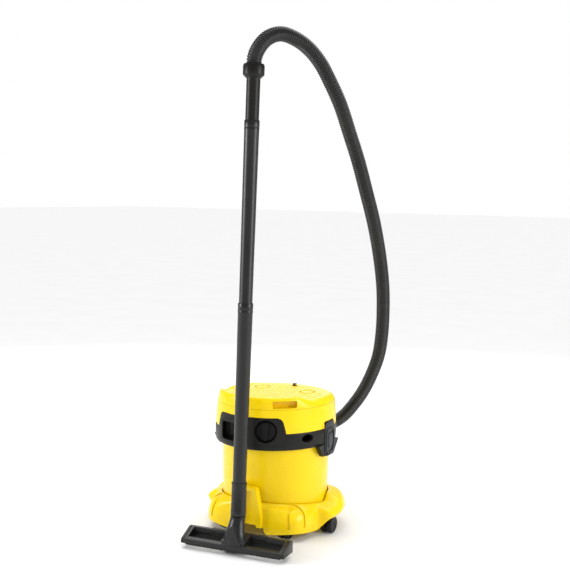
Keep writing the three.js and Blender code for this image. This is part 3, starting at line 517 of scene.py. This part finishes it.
def make_hose(looks):
    pitch, rows = 6.0, 6
    path, length = even_steps(centripetal(HOSE_ROUTE, 40), pitch / rows)
    last = len(path) - 1
    tangents = [
        (path[min(i + 1, last)] - path[max(i - 1, 0)]).normalized() for i in range(len(path))
    ]
    side = tangents[0].cross(Vector((0, 0, 1))).normalized()
    rings = []
    for i, (centre, along) in enumerate(zip(path, tangents)):
        side = (side - along * side.dot(along)).normalized()
        up = along.cross(side)
        wave = 0.5 + 0.5 * math.cos(2 * math.pi * i / rows)
        r = HOSE_R - 2.6 * (1 - wave**0.6)
        turns = [2 * math.pi * k / 28 for k in range(28)]
        rings.append([centre + (side * math.cos(t) + up * math.sin(t)) * r for t in turns])
    made = loft(rings)
    finish(
        made, "corrugated_hose", looks["hose"], None, "suction_hose", sharp=180, slot="hose_plastic"
    )
    every = [point(*p) for p in path[:: rows * 2]] + [point(*path[-1])]
    return made, every, length * MM


# ---------- drum and chassis ----------
TUB_R = 148.5
RIM_R = 150.8
TUB_TAPER = 3.5
CHASSIS_SEG = SEG * 2
WHEEL_R = 23
CASTER_TRAIL = 15


def make_drum(looks):
    low = TUB_R - TUB_TAPER
    made = turned(
        [
            (0, 61), (low - 12, 61), (low - 8, 61.6), (low - 5, 63.2), (low - 2.2, 65.8),
            (low - 0.6, 69), (low + 0.2, 76), (TUB_R, 244.4), (TUB_R + 0.8, 246),
            (RIM_R - 0.4, 246.8), (RIM_R, 247.4), (RIM_R, 250.6), (RIM_R - 0.4, 251),
            (TUB_R - 2.2, 251), (TUB_R - 2.6, 250.6), (low - 2.6, 72), (low - 4.5, 66.5),
            (low - 10, 63.8), (0, 63.8),
        ],
        SEG,
    )
    for degrees in (-90, 90):
        union(
            made, out_prism(round_rect(-17, 17, 222, 231, 2, 3), degrees, TUB_R - 1.8, RIM_R - 0.4)
        )
    cut(made, placed(cylinder(24.3, 130, TUB_R + 11, 48), (0, 0, INLET_Z), (0, 1, 0), (1, 0, 0)))
    finish(made, "drum", looks["yellow"], "machine", "container", slot="yellow_plastic")


def angle_weight(degrees, at, half, flat=0.0):
    d = abs(((degrees - at + 540) % 360) - 180)
    return 1 - smoothstep(d, flat, half)


def collar_height(degrees):
    return 80 + 18.5 * max(math.cos(math.radians(degrees)), 0)


# where each well is, half its width and its flat part, in degrees round the drum
WHEEL_WELLS = ((93, 23, 15), (-93, 23, 15), (180, 36, 22))


def chassis_ring(row_at):
    """One ring of the chassis from four (radius, z): plain skirt, front corners, over the
    wheels, tall housings."""
    out = []
    for i in range(CHASSIS_SEG):
        degrees = 360 * i / CHASSIS_SEG
        t = math.radians(degrees)
        weights = [
            max(angle_weight(degrees, a, 28) for a in (43, -43)),
            max(angle_weight(degrees, *well) for well in WHEEL_WELLS),
            max(angle_weight(degrees, a, 26, 15) for a in (116, -116)),
        ]
        row = row_at(collar_height(degrees))
        r, z = row[0]
        for weight, (other_r, other_z) in zip(weights, row[1:]):
            r, z = r + (other_r - r) * weight, z + (other_z - z) * weight
        out.append((r * math.sin(t), -r * math.cos(t), z))
    return out


def chassis_outside(inset):
    rows = [
        lambda c: ((167, 16), (190, 24), (193, 48), (193, 48)),
        lambda c: ((168, 42), (191, 44), (197, 56), (197, 60)),
        lambda c: ((166, 63), (187, 62), (191, 66), (191, 76)),
        lambda c: ((TUB_R + 14, c - 12), (177, c - 16), (181, 73), (182, 86)),
        lambda c: ((TUB_R + 8, c - 5), (TUB_R + 13, c - 6), (TUB_R + 17, 77.5), (TUB_R + 18, 93)),
        lambda c: ((TUB_R + 4.5, c), (TUB_R + 4.6, c), (TUB_R + 5, c), (TUB_R + 6, 98)),
    ]
    rings = [
        chassis_ring(
            lambda c, row=row: [(r - inset, z - inset * 0.4) for r, z in row(c)]
        ) for row in rows
    ]
    return smooth_rows(rings, 5)


def level(r, z):
    return chassis_ring(lambda c: ((r, z), (r, z), (r, z), (r, z)))


def arch_outline(half, half_top, z0, z_top, corner):
    right = [(half, z0), (half - 2, z0 + (z_top - z0) * 0.35)]
    for i in range(7):
        t = math.radians(90 * i / 6)
        right.append(
            (half_top + corner * math.cos(t), z_top - corner * 2 + corner * 2 * math.sin(t))
        )
    return right + [(-u, v) for u, v in reversed(right)]


def groove_outline(half, z0, z_top):
    arc = [math.pi * i / 16 for i in range(17)]
    return [
        (half, z0), *[(half * math.cos(t), z_top - half + half * math.sin(t)) for t in arc],
        (-half, z0)
    ]


CASTERS = {
    "front_left": (-90, -97), "front_right": (90, -97), "side_left": (-170, 6),
    "side_right": (170, 6), "rear": (0, 166),
}


def make_chassis(looks):
    under = [
        level(TUB_R + 3.4, 57),
        chassis_ring(
            lambda c: (
                (TUB_R + 3.8, c - 9), (TUB_R + 6, c - 10), (TUB_R + 8, c - 12), (TUB_R + 8, 90)
            )
        ),
        chassis_ring(lambda c: ((TUB_R + 11, c - 17), (172, c - 22), (177, 64), (178, 81))),
        chassis_ring(lambda c: ((163, 56), (184, 56), (187.5, 60), (188, 71))),
        chassis_ring(lambda c: ((163.5, 16), (186.8, 24), (189.5, 48), (189.5, 48))),
    ]
    wall = TUB_R + 1
    inside = [
        chassis_ring(lambda c: ((wall, c), (wall, c), (wall, c), (wall, 98))),
        level(TUB_R + 0.6, 60.6)
    ]
    made = loft([[(0, 0, 57)], *under, *chassis_outside(0), *inside, [(0, 0, 60.6)]])
    union(made, out_prism(arch_outline(46, 22, 30, 141, 10), 0, TUB_R + 2, 171))
    cut(made, out_prism(arch_outline(33, 12, 0, 132, 9), 0, TUB_R + 5.5, 200))
    cut(made, out_prism(arch_outline(62, 44, 0, 36, 6), 0, 120, 200))
    for degrees in (-45, 45):
        band = cut(
            out_prism(groove_outline(26.5, 38, 92), degrees, 120, 210),
            out_prism(groove_outline(19.5, 30, 85), degrees, 110, 220),
            loft([[(0, 0, 16)], *chassis_outside(3), [(0, 0, 99)]]),
        )
        cut(made, band)
    for x, y in CASTERS.values():
        top = 80 if y < 0 else 70
        union(made, cut(cylinder(11, 54, top, 32, x, y), cylinder(TUB_R + 0.6, 60.6, 200, SEG)))
    for x, y in CASTERS.values():
        cut(made, cylinder(5.5, 50, 64, 32, x, y))
    finish(
        made, "chassis_body", looks["yellow"], "machine", "chassis", slot="yellow_plastic", sharp=30
    )


def make_caster(looks, name, x, y):
    axle = y - CASTER_TRAIL
    cheek = [
        (7, 34), (7, 45), (4, 46.6), (-8, 47), (-17, 45.6), (-24, 41), (-28, 30), (-24, 18),
        (-15, 14), (-8, 22)
    ]
    blade = placed(
        prism([(y + v, z) for v, z in cheek], -3.6, 3.6), (x, 0, 0), (1, 0, 0), (0, 1, 0)
    )
    union(blade, cylinder(9.5, 46.5, 53, 40, x, y), cylinder(5.1, 50, 60.2, 32, x, y))
    cut(blade, placed(cylinder(3.3, -10, 10), (x, axle, WHEEL_R), (1, 0, 0), (0, 1, 0)))
    body = f"caster_{name}"
    finish(blade, f"yoke_{name}", looks["wheel"], body, f"caster_yoke_{name}", slot="black_plastic")
    wide = 17
    half = [
        (0, wide - 1.6), (6, wide - 1.6), (6.6, wide - 0.9), (8, wide - 0.6), (8.6, wide - 1.6),
        (16.4, wide - 1.6), (17.2, wide - 0.3), (18.6, wide), (20.2, 16.6), (21.6, 15.4),
        (22.6, 13.6), (WHEEL_R, 11.4), (WHEEL_R, 7), (22.6, 5), (21.4, 4.2), (20, 4), (3, 4),
    ]
    profile = [(r, -z) for r, z in half] + [(r, z) for r, z in reversed(half)]
    wheels = placed(turned(profile, 56), (x, axle, WHEEL_R), (1, 0, 0), (0, 1, 0))
    finish(
        wheels, f"wheels_{name}_pair", looks["wheel"], f"wheels_{name}", f"caster_wheels_{name}",
        slot="grey_plastic"
    )


def backwards(made):
    return placed(made, (0, 0, INLET_Z), (0, 1, 0), (1, 0, 0))


def make_inlet(looks):
    port = turned(
        [
            (20.2, 137), (23.7, 137), (23.7, 147.5), (29, 147.7), (30, 148.5), (30, 152.6),
            (29, 153.5), (26, 154.5), (25, 156), (25, 167), (26.5, 168.5), (26.5, 175), (25.6, 176),
            (22.6, 176), (22, 174), (20.2, 160),
        ],
        72,
        loop=True,
    )
    port = cut(
        backwards(port),
        cut(cylinder(TUB_R + 0.3, 160, 260, SEG), backwards(cylinder(23.8, 120, 165, 72)))
    )
    finish(port, "inlet_mouth", looks["black"], "machine", "inlet_port", slot="black_plastic")
    ribs = []
    for k in range(7):
        z = 186 + 3 * k
        ribs += [(25.5, z - 0.6), (24.7, z), (24.7, z + 1.2), (25.5, z + 1.8)]
    connector = [
        (15.5, 162), (19.6, 162), (21.8, 175), (21.8, 176.6), (24, 177), (25, 178.6), (25.5, 182),
        *ribs, (25.2, 207.4), (23.6, 209.6), (22.7, 216), (22.2, 219), (20.6, 219.5), (20.5, 204),
        (15.5, 202),
    ]
    made = backwards(turned(connector, 72, loop=True))
    finish(
        made, "hose_end_sleeve", looks["black"], "machine", "hose_connector", slot="black_plastic"
    )


# ---------- head ----------
HEAD_A, HEAD_B = 163, 180
KNOB_TURN, KNOB_Z = 18, 297
GLAND_TURN, GLAND_Z = 150, 318
LATCH_PIN_R, LATCH_PIN_Z = 157.5, 296
RING_X, RING_Y = 71, 48


def panel_outline(grow):
    half = [
        (101 + grow, 256 - grow), (101 + grow, 291), (99.5 + grow, 300), (95 + grow, 319),
        (92.5 + grow, 325), (88.5 + grow, 329.5), (82 + grow, 332 + grow),
    ]
    return half + [(-x, z) for x, z in reversed(half)]


def make_head_base(looks):
    rings = [
        ring(40, 40, 254.4), ring(151.8, 151.8, 254.4), ring(151.8, 151.8, 245),
        ring(HEAD_A - 3, HEAD_B - 3, 245), ring(HEAD_A - 1, HEAD_B - 0.8, 246.2),
        ring(HEAD_A + 0.3, HEAD_B + 0.5, 249), ring(HEAD_A + 1.2, HEAD_B + 1.5, 262),
        ring(HEAD_A + 1.5, HEAD_B + 1.8, 276), ring(HEAD_A + 1.1, HEAD_B + 1.4, 288),
        ring(HEAD_A + 0.3, HEAD_B + 0.6, 290), ring(HEAD_A - 6, HEAD_B - 6.5, 290),
        ring(HEAD_A - 6, HEAD_B - 6.5, 258), ring(40, 40, 258),
    ]
    made = loft(rings, True)
    ear = [
        (-62, 247), (-54, 236), (-42, 222), (-35, 214), (35, 214), (42, 222), (54, 236), (62, 247)
    ]
    for degrees in (-90, 90):
        union(made, cut(out_prism(ear, degrees, 150, HEAD_A - 0.4), cylinder(152.2, 200, 260, SEG)))
        union(made, out_prism(round_rect(-40, 40, 256, 290, 2, 2), degrees, 151.9, 158.5))
    cut(made, out_prism(panel_outline(0.4), 0, 120, 200))
    dish = [
        (0, 155), (7, 155.6), (11, 157), (14, 159.4), (16, 162.4), (18, 167), (19, 171), (20, 178),
        (0, 178)
    ]
    for degrees in (-57, 57):
        cut(made, pointing_out(turned(dish, 56, squash=0.6), degrees, 274))
    for degrees in (-90, 90):
        cut(made, out_prism(round_rect(-31, 31, 200, 320, 6), degrees, 156.5, 190))
        cut(made, out_prism(round_rect(-22, 22, 200, 221, 2), degrees, 140, 170))
    finish(made, "head_band", looks["black"], "head", "head_base", slot="black_plastic")


def make_head_cover(looks):
    outside = smooth_rows(
        [
            ring(HEAD_A, HEAD_B + 0.3, 290.4), ring(HEAD_A - 0.7, HEAD_B - 0.4, 312),
            ring(HEAD_A - 2.2, HEAD_B - 1.7, 332), ring(HEAD_A - 4.2, HEAD_B - 3.6, 353.4)
        ],
        3
    )
    inside = [
        ring(HEAD_A - 8, HEAD_B - 7.4, 353.4), ring(HEAD_A - 6, HEAD_B - 5.5, 332),
        ring(HEAD_A - 4.2, HEAD_B - 4, 290.4)
    ]
    made = loft([*outside, *inside], True)
    for degrees in (-90, 90):
        for side in (-1, 1):
            low, high = sorted((side * 31, side * 38))
            union(made, out_prism(round_rect(low, high, 290.6, 302, 2, 3), degrees, 151, 161.5))
        cut(made, out_prism(round_rect(-31.2, 31.2, 270, 308.5, 8), degrees, 140, 190))
        x = math.sin(math.radians(degrees)) * LATCH_PIN_R
        cut(made, placed(cylinder(2.1, -36.5, 36.5), (x, 0, LATCH_PIN_Z), (0, 1, 0), (1, 0, 0)))
    cut(made, out_prism(panel_outline(0.4), 0, 120, 200))
    cut(made, pointing_out(cylinder(7.4, 150, 200), GLAND_TURN, GLAND_Z))
    # air outlet slots on both sides towards the back
    for centre in (-142, 142):
        for k in range(6):
            degrees = centre + (k - 2.5) * 3.2
            if abs(abs(degrees) - 150) > 4.6 or degrees < 0:
                cut(made, out_prism(round_rect(-2.2, 2.2, 300, 338, 2, 4), degrees, 140, 200))
    finish(made, "motor_cover", looks["yellow"], "head", "head_cover", slot="yellow_plastic")


def make_gland(looks):
    profile = [
        (3.6, 164), (9.5, 164), (9.5, 167), (7.1, 167.4), (7.1, 178), (9.5, 179), (9.5, 182),
        (9, 183), (8.6, 185), (8.8, 186), (8.8, 187.6), (8, 188), (8, 189.4), (8.2, 190),
        (8, 191.6), (7.2, 192), (7.2, 193.4), (7, 195), (6.4, 196), (3.6, 196),
    ]
    made = pointing_out(turned(profile, 40, loop=True), GLAND_TURN, GLAND_Z)
    finish(made, "cable_bush", looks["rubber"], "head", "cord_gland", slot="rubber")


def make_panel(looks):
    front = [
        ring(HEAD_A + 1.6, HEAD_B + 1.9, 290), ring(HEAD_A + 0.2, HEAD_B + 0.6, 312),
        ring(HEAD_A - 1.6, HEAD_B - 1, 336)
    ]
    foot = [
        [(0, 0, 250)], ring(HEAD_A + 1.6, HEAD_B + 1.9, 250), ring(HEAD_A + 1.6, HEAD_B + 1.9, 288)
    ]
    outer = loft([*foot, *smooth_rows(front, 3), [(0, 0, 336)]])
    made = overlap(outer, out_prism(panel_outline(0), 0, 110, 200))
    cut(made, loft([[(0, 0, 240)], ring(152, 168, 240), ring(152, 168, 345), [(0, 0, 345)]]))
    x0, x1, z0, z1, floor = -80, -1, 262, 311, 142
    union(made, out_prism(round_rect(x0 - 3, x1 + 3, 259, z1 + 3, 5), 0, floor - 4, 160))
    # the niche's frame stands a little proud of the panel
    rim = out_prism(round_rect(x0 - 5, x1 + 5, z0 - 5, z1 + 5, 12), 0, 150, 200)
    shell = loft(
        [
            [(0, 0, 250)], ring(HEAD_A + 2.6, HEAD_B + 3, 250), ring(HEAD_A + 2.6, HEAD_B + 3, 290),
            ring(HEAD_A + 0.8, HEAD_B + 1.4, 320), [(0, 0, 320)]
        ]
    )
    union(made, cut(overlap(rim, shell), cylinder(150, 200, 400, SEG)))
    cut(made, out_prism(round_rect(x0, x1, z0, z1, 9), 0, floor, 200))
    dish = turned(
        [
            (0, 168), (26.5, 168), (28.5, 169), (30, 172), (30.4, 178), (31.5, 184), (33, 190),
            (0, 190)
        ],
        72
    )
    cut(
        made, pointing_out(dish, KNOB_TURN, KNOB_Z),
        pointing_out(cylinder(5.4, 140, 175), KNOB_TURN, KNOB_Z)
    )
    finish(made, "front_panel", looks["black"], "head", "control_panel", slot="black_plastic")
    # louvres at the niche's back
    fins = None
    for k in range(5):
        x = -70 + 14.5 * k
        fin = out_prism(round_rect(x, x + 2.4, z0 + 6, z1 - 6, 1, 3), 0, floor - 0.6, floor + 1.6)
        fins = fin if fins is None else union(fins, fin)
    return fins


def make_knob(looks):
    base = 168.6
    made = turned(
        [
            (0, base), (25.2, base), (25.5, base + 0.6), (25.5, base + 3.6), (25, base + 4.8),
            (23.6, base + 5.8), (21.5, base + 6.4), (0, base + 6.5),
        ],
        96,
    )
    for k in range(24):
        t = 2 * math.pi * k / 24
        cut(made, cylinder(1.3, base - 1, base + 9, 12, 26.2 * math.cos(t), 26.2 * math.sin(t)))
    grip = round_edges(prism(round_rect(-6, 6, -23, 23, 5.5), base + 5, base + 16), 1.6, 3)
    union(made, grip, cylinder(5, 146, base + 1))
    cut(made, box(-0.7, 0.7, 10, 21, base + 15.3, base + 18))
    finish(
        pointing_out(made, KNOB_TURN, KNOB_Z), "turn_knob", looks["niche"], "knob", "switch_knob",
        slot="grey_plastic"
    )


def top_ring(side, lip=None, back=None):
    """One ring of the top cover from (half width, half length, z) at its sides, front lip and
    back."""
    lip = lip or side
    back = back or side
    out = []
    for i in range(SEG):
        degrees = 360 * i / SEG
        t = math.radians(degrees)
        d = abs(((degrees + 180) % 360) - 180)
        f = 1 - smoothstep(d, 48, 68)
        r = smoothstep(d, 100, 150)
        a, b, z = (side[k] + (lip[k] - side[k]) * f + (back[k] - side[k]) * r for k in range(3))
        out.append((a * math.sin(t), -b * math.cos(t), z))
    return out


def make_top(looks):
    crest = top_ring((138, 153, 371.5), (148, 163, 384), (138, 139, 368.2))
    outside = [
        top_ring((158.4, 176, 353.8)),
        top_ring((156.5, 174, 360), (157.2, 174.6, 366), (155.5, 171, 358.5)),
        top_ring((151, 168, 366), (155, 171.5, 379), (150, 160, 363)),
        top_ring((144, 160, 370.5), (151.5, 167, 384), (143, 148, 366.2)),
        crest,
    ]
    rim = smooth_rows(outside, 4)
    inner = smooth_rows(
        [
            crest,
            top_ring((136, 151, 371), (144.5, 158.5, 374), (135, 134, 368.6)),
            top_ring((133, 148, 368), (139, 149, 365.6), (132, 130, 368)),
            top_ring((128, 143, 368), (126, 137, 365.6), (127, 124, 368)),
        ],
        3,
    )[1:]
    under = [
        [(0, 0, 363)], top_ring((122, 132, 363)),
        top_ring((146, 161, 359), (146, 161, 359), (144, 148, 358)),
        top_ring((154.6, 172.2, 353.8)),
    ]
    made = loft(
        [
            *under, *rim, *inner, top_ring((124, 138, 368), (122, 132, 368), (123, 120, 368)),
            [(0, 0, 368)]
        ]
    )
    for k in range(-10, 11):
        x = 12.0 * k
        reach = math.sqrt(1 - (x / 126) ** 2)
        spans = [(-124 * reach, 112 * reach)]
        if 44 < abs(x) < 98:
            gap = 27
            spans = [(-124 * reach, RING_Y - gap), (RING_Y + gap, 112 * reach)]
        for y0, y1 in spans:
            if y1 - y0 > 6 and not (abs(x) < 10 and y1 > 100):
                union(made, box(x - 0.9, x + 0.9, y0, y1, 367, 368.9))
            elif y1 - y0 > 6:
                union(made, box(x - 0.9, x + 0.9, y0, 100, 367, 368.9))
    for x in (-RING_X, RING_X):
        ring_out = turned(
            [(16, 360.5), (24, 360.5), (24, 368.6), (23.4, 369.2), (16.8, 369.2), (16, 368.6)], 64,
            True, x=x, y=RING_Y
        )
        union(made, ring_out)
        cut(
            made,
            turned([(18.2, 363.2), (22, 363.2), (22, 371), (18.2, 371)], 64, True, x=x, y=RING_Y)
        )
    block = out_prism(round_rect(-38, 36, 354.5, 380, 6), 35, 139, 156)
    union(made, overlap(block, loft([[(0, 0, 353.8)], *smooth_rows(outside, 4), [(0, 0, 372)]])))
    cut(made, out_prism(round_rect(-34, 32, 357, 376, 5), 35, 145, 190))
    finish(made, "tray_cover", looks["yellow"], "head", "top_cover", slot="yellow_plastic")


def make_cable_hook(looks):
    made = union(
        box(-6, 6, 106, 118, 368.3, 370), box(-3, 3, 108, 112, 369.5, 373.4),
        box(-4.5, 4.5, 108, 119, 372.4, 374.6)
    )
    finish(
        round_edges(made, 0.6), "cable_tidy_hook", looks["black"], "head", "cable_hook",
        slot="black_plastic"
    )


def make_latch(looks, degrees, side):
    half, top, bottom, back = 29, 306, 212, 157
    outline = [
        (-half + 7, bottom), (half - 7, bottom), (half - 1, bottom + 8), (half, bottom + 14),
        (half, top - 14), (half - 2, top - 6), (half - 7, top), (-half + 7, top),
        (-half + 2, top - 6), (-half, top - 14), (-half, bottom + 14), (-half + 1, bottom + 8),
    ]
    made = round_edges(out_prism(outline, degrees, back, 164.5), 1.8, 3)
    frame_out = round_edges(
        out_prism(round_rect(-25, 25, 219, 288, 14), degrees, 162, 167.5), 1.4, 3
    )
    frame_in = out_prism(round_rect(-20.5, 20.5, 223.5, 283, 11), degrees, 163.4, 172)
    union(made, cut(frame_out, frame_in))
    boss = turned(
        [(0, 162), (15, 162), (15, 165.6), (14, 167), (12, 167.8), (8, 168), (0, 168)], 56,
        squash=1.5
    )
    union(made, pointing_out(boss, degrees, 254))
    lip = out_prism([(-19, 213.5), (19, 213.5), (19, 221), (-19, 221)], degrees, 162, 169)
    tooth = out_prism([(-19, 213), (19, 213), (19, 219.5), (-19, 219.5)], degrees, 152.6, 160)
    union(made, round_edges(lip, 1.2), tooth)
    cut(made, out_prism(round_rect(-40, 40, 298.2, 320, 1, 2), degrees, 140, 160.5))
    x = math.sin(math.radians(degrees)) * LATCH_PIN_R
    union(made, placed(cylinder(1.8, -35.5, 35.5), (x, 0, LATCH_PIN_Z), (0, 1, 0), (1, 0, 0)))
    finish(
        made, f"snap_{side}", looks["latch"], f"{side}_latch", f"latch_{side}", slot="black_plastic"
    )


# ---------- wand and nozzle ----------
LEAN = 0.0436
WAND_X, WAND_Y = 26, -262
NOZZLE_LIFT = 9


def on_wand(made):
    return placed(made, (WAND_X, WAND_Y, 0), (0, LEAN, 1), (1, 0, 0))


def make_tube(looks, name, z0, z1):
    profile = [
        (15.2, z0 - 44), (16.7, z0 - 44), (17.2, z0 - 41), (17.3, z0 + 2), (19.1, z1 - 26),
        (19.5, z1 - 24.6), (19.5, z1 - 20), (19.2, z1 - 19.4), (19.2, z1 - 18.6), (19.5, z1 - 18),
        (19.5, z1 - 1), (18.9, z1), (17.8, z1), (17.8, z1 - 46), (15.2, z1 - 52),
    ]
    finish(
        on_wand(turned(profile, 72, True)), f"wand_{name}", looks["tube"], "wand", name,
        slot="grey_plastic"
    )


def make_cuff(looks):
    z0, z1, end = 1208, 1243, 1059
    profile = [
        (15.2, end), (16.7, end), (17.2, end + 3), (17.6, z0 - 2), (18.4, z0), (21, z0 + 1.6),
        (26.6, z0 + 7), (27.4, z0 + 9), (27.4, z1 - 6), (27, z1 - 3), (25.5, z1), (21, z1),
        (21, z0 + 14), (15.2, z0 + 10),
    ]
    finish(
        on_wand(turned(profile, 72, True)), "hose_grip_cuff", looks["black"], "wand", "hose_cuff",
        slot="black_plastic"
    )


def on_nozzle(made):
    made.data.transform(
        Matrix.Translation(
            Vector((29, -272, NOZZLE_LIFT))
        ) @ Matrix.Rotation(math.radians(4), 4, "Z")
    )
    return made


def across(outline, x0, x1, rounded=1.0):
    made = placed(prism(outline, x0, x1), (0, 0, 0), (1, 0, 0), (0, 1, 0))
    return round_edges(made, rounded, 2) if rounded else made


def make_nozzle(looks):
    z0, z1 = 94, 179
    sleeve = [
        (15.2, z0), (19.6, z0), (20, z0 + 0.6), (20, z0 + 16), (19.6, z0 + 17), (19.4, z1 - 5),
        (20.1, z1 - 4), (20.2, z1 - 0.6), (19.8, z1), (17.8, z1), (17.8, z1 - 45.5),
        (15.2, z1 - 49),
    ]
    finish(
        on_wand(turned(sleeve, 72, True)), "sleeve", looks["tube"], "floor_nozzle", "nozzle_sleeve",
        slot="grey_plastic"
    )
    half, deep, rear, front = 145, 30, 36, 17
    end = [
        (-deep, 4), (deep, 4), (deep, rear - 4), (deep - 4, rear), (deep - 14, rear),
        (-deep + 3, front), (-deep, front - 2)
    ]
    front_bar = [
        (-deep, 4), (-deep + 13, 4), (-deep + 13, front + 3), (-deep + 3, front), (-deep, front - 2)
    ]
    rear_bar = [
        (deep - 15, 4), (deep, 4), (deep, rear - 4), (deep - 4, rear), (deep - 14, rear),
        (deep - 15, rear - 2)
    ]
    raised = [
        (deep - 16, 20), (deep, 20), (deep, rear - 1), (deep - 4, rear + 3), (deep - 13, rear + 3),
        (deep - 16, rear)
    ]
    middle = [
        (-deep, 4), (deep, 4), (deep, rear), (deep - 12, rear + 2), (-deep + 6, front + 8),
        (-deep, front)
    ]
    gusset = [(-27, front - 2), (27, front - 2), (12, 44), (6, 62), (-6, 62), (-12, 44)]
    made = across(front_bar, -half + 7.4, half - 7.4)
    union(
        made, across(rear_bar, -half + 7.4, half - 7.4), across(end, -half + 7.4, -half + 16),
        across(end, half - 16, half - 7.4), across(raised, -78, 78, 1.6),
        across(middle, -33, 33, 1.6),
        placed(prism(gusset, 8, deep - 1), (-1, 0, 0), (0, -1, 0), (1, 0, 0)),
    )
    on_nozzle(made)
    tx, ty = WAND_X, WAND_Y + LEAN * z0
    rows = [
        ring(33, 24, 27, 72, 28, -279), ring(27, 23.5, 51, 72, 28, -276.5),
        ring(21.5, 21, 70, 72, 27, -268), ring(19.8, 19.6, 84, 72, tx, ty - 3),
        ring(19.6, 19.6, 92.5, 72, tx, ty),
    ]
    union(made, loft(smooth_rows(rows, 5)))
    collar = loft(
        [
            ring(22.6, 22.2, 62, 72, 27, -269.2), ring(23, 22.6, 64, 72, 27, -268.6),
            ring(23, 22.6, 69, 72, 27, -267.2), ring(22, 21.6, 71, 72, 27, -266.6),
        ]
    )
    union(made, collar)
    duct = [
        ring(24, 18, 7, 48, 28, -276), ring(22, 18, 37, 48, 28, -276),
        ring(16.5, 16.5, 69, 48, 27, -268), ring(15.2, 15.2, 84, 48, tx, ty - 3),
        ring(15.2, 15.2, 110, 48, tx, ty),
    ]
    cut(made, loft(smooth_rows(duct, 3)))
    for y in (-deep + 4, deep - 8):
        cut(made, on_nozzle(box(-half + 11, half - 11, y - 0.4, y + 4.4, -1, 10)))
    finish(made, "nozzle_frame", looks["tube"], "floor_nozzle", "nozzle_body", slot="grey_plastic")
    for side, x0, x1 in (("left", -half, -half + 7), ("right", half - 7, half)):
        cap = on_nozzle(across(end, x0, x1, 1.4))
        finish(
            cap, f"nozzle_cap_{side}", looks["tube"], "floor_nozzle", f"nozzle_end_cap_{side}",
            slot="grey_plastic"
        )
    lips(looks, "nozzle_front_strip", "squeegee_lip", half, -deep + 4)
    lips(looks, "nozzle_rear_strip", "brush_lip", half, deep - 8)


def lips(looks, node, name, half, y):
    """A strip along the nozzle's underside, notched along its lower edge."""
    made = box(-half + 12, half - 12, y, y + 4, 0, 9.6)
    for k in range(26):
        x = -half + 17 + k * 10.2
        cut(made, box(x, x + 1.6, y - 1, y + 5, -1, 3.5))
    finish(on_nozzle(made), name, looks["rubber"], "floor_nozzle", node, slot="rubber")


# ---------- inside the head ----------


def dress_inner_nodes(looks):
    """Plain materials for the pieces inside the drum and the head."""
    for name, look in {
        "inlet_elbow": "black", "fan_housing": "black", "motor_housing": "black",
        "filter_cage": "black", "filter_cap": "black", "switch_body": "wheel",
        "head_seal": "rubber", "impeller": "aluminium", "motor_rotor": "steel",
        "motor_stator": "copper", "cartridge_filter": "paper", "float": "foam",
    }.items():
        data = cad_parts[name].data
        data.materials.clear()
        data.materials.append(looks[look])


# ---------- room ----------


def make_world():
    """The camera sees a white studio wall, and the object is lit by a dimmer one."""
    world = bpy.data.worlds.new("studio")
    bpy.context.scene.world = world
    world.use_nodes = True
    tree = world.node_tree
    wall = tree.nodes["Background"]
    wall.inputs["Color"].default_value = (1, 1, 1, 1)
    wall.inputs["Strength"].default_value = WORLD_LIGHT
    seen = tree.nodes.new("ShaderNodeBackground")
    seen.inputs["Color"].default_value = (1, 1, 1, 1)
    seen.inputs["Strength"].default_value = 1.0
    path = tree.nodes.new("ShaderNodeLightPath")
    mix = tree.nodes.new("ShaderNodeMixShader")
    tree.links.new(path.outputs["Is Camera Ray"], mix.inputs["Fac"])
    tree.links.new(wall.outputs["Background"], mix.inputs[1])
    tree.links.new(seen.outputs["Background"], mix.inputs[2])
    tree.links.new(mix.outputs["Shader"], tree.nodes["World Output"].inputs["Surface"])


def make_light(name, kind, place, power, size, glossy=True):
    data = bpy.data.lights.new(name, kind)
    data.energy = power
    if kind == "SUN":
        data.angle = math.radians(size)
    else:
        data.size = size
    light = bpy.data.objects.new(name, data)
    light.location = place
    aim = Vector((0, 0, 0.3)) - Vector(place)
    light.rotation_euler = aim.to_track_quat("-Z", "Y").to_euler()
    light.visible_glossy = glossy
    light.visible_camera = False
    bpy.context.collection.objects.link(light)


def make_stage():
    bpy.ops.mesh.primitive_plane_add(size=60, location=(AXIS.x, AXIS.y + 12, cad_box[0][2]))
    floor = bpy.context.object
    floor.name = "floor"
    look, tree, shader = new_material("pale_floor")
    tree.links.new(
        ramp(tree, noise(tree, 3, 2), (0.8, 0.8, 0.8), (0.82, 0.82, 0.82)),
        shader.inputs["Base Color"]
    )
    shader.inputs["Roughness"].default_value = 0.8
    floor.data.materials.append(look)
    make_world()
    bpy.context.scene.view_settings.view_transform = "Standard"
    make_light("overhead", "SUN", (-0.3, 0.9, 3), 2.7, 70)
    make_light("front", "SUN", (0.8, -3, 1.6), 0.4, 60, glossy=False)
    make_light("right_box", "AREA", (2.1, 0.0, 1.0), 26, 1.0)
    make_light("left_box", "AREA", (-1.7, -1.3, 1.0), 26, 0.7)
    make_light("back_box", "AREA", (-1.3, 2.6, 1.3), 13, 1.8)


def build():
    make_camera()
    looks = make_materials()
    hose, path, length = make_hose(looks)
    make_drum(looks)
    make_chassis(looks)
    for name, (x, y) in CASTERS.items():
        make_caster(looks, name, x, y)
    make_inlet(looks)
    make_head_base(looks)
    make_head_cover(looks)
    make_gland(looks)
    louvres = make_panel(looks)
    finish(louvres, "niche_louvres", looks["niche"], "head", slot="black_plastic")
    make_knob(looks)
    make_top(looks)
    make_cable_hook(looks)
    for degrees, side in ((-90, "left"), (90, "right")):
        make_latch(looks, degrees, side)
    make_nozzle(looks)
    make_tube(looks, "lower_tube", 180, 641)
    make_tube(looks, "upper_tube", 642, 1103)
    make_cuff(looks)
    dress_inner_nodes(looks)
    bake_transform(hose)
    make_stage()


build()
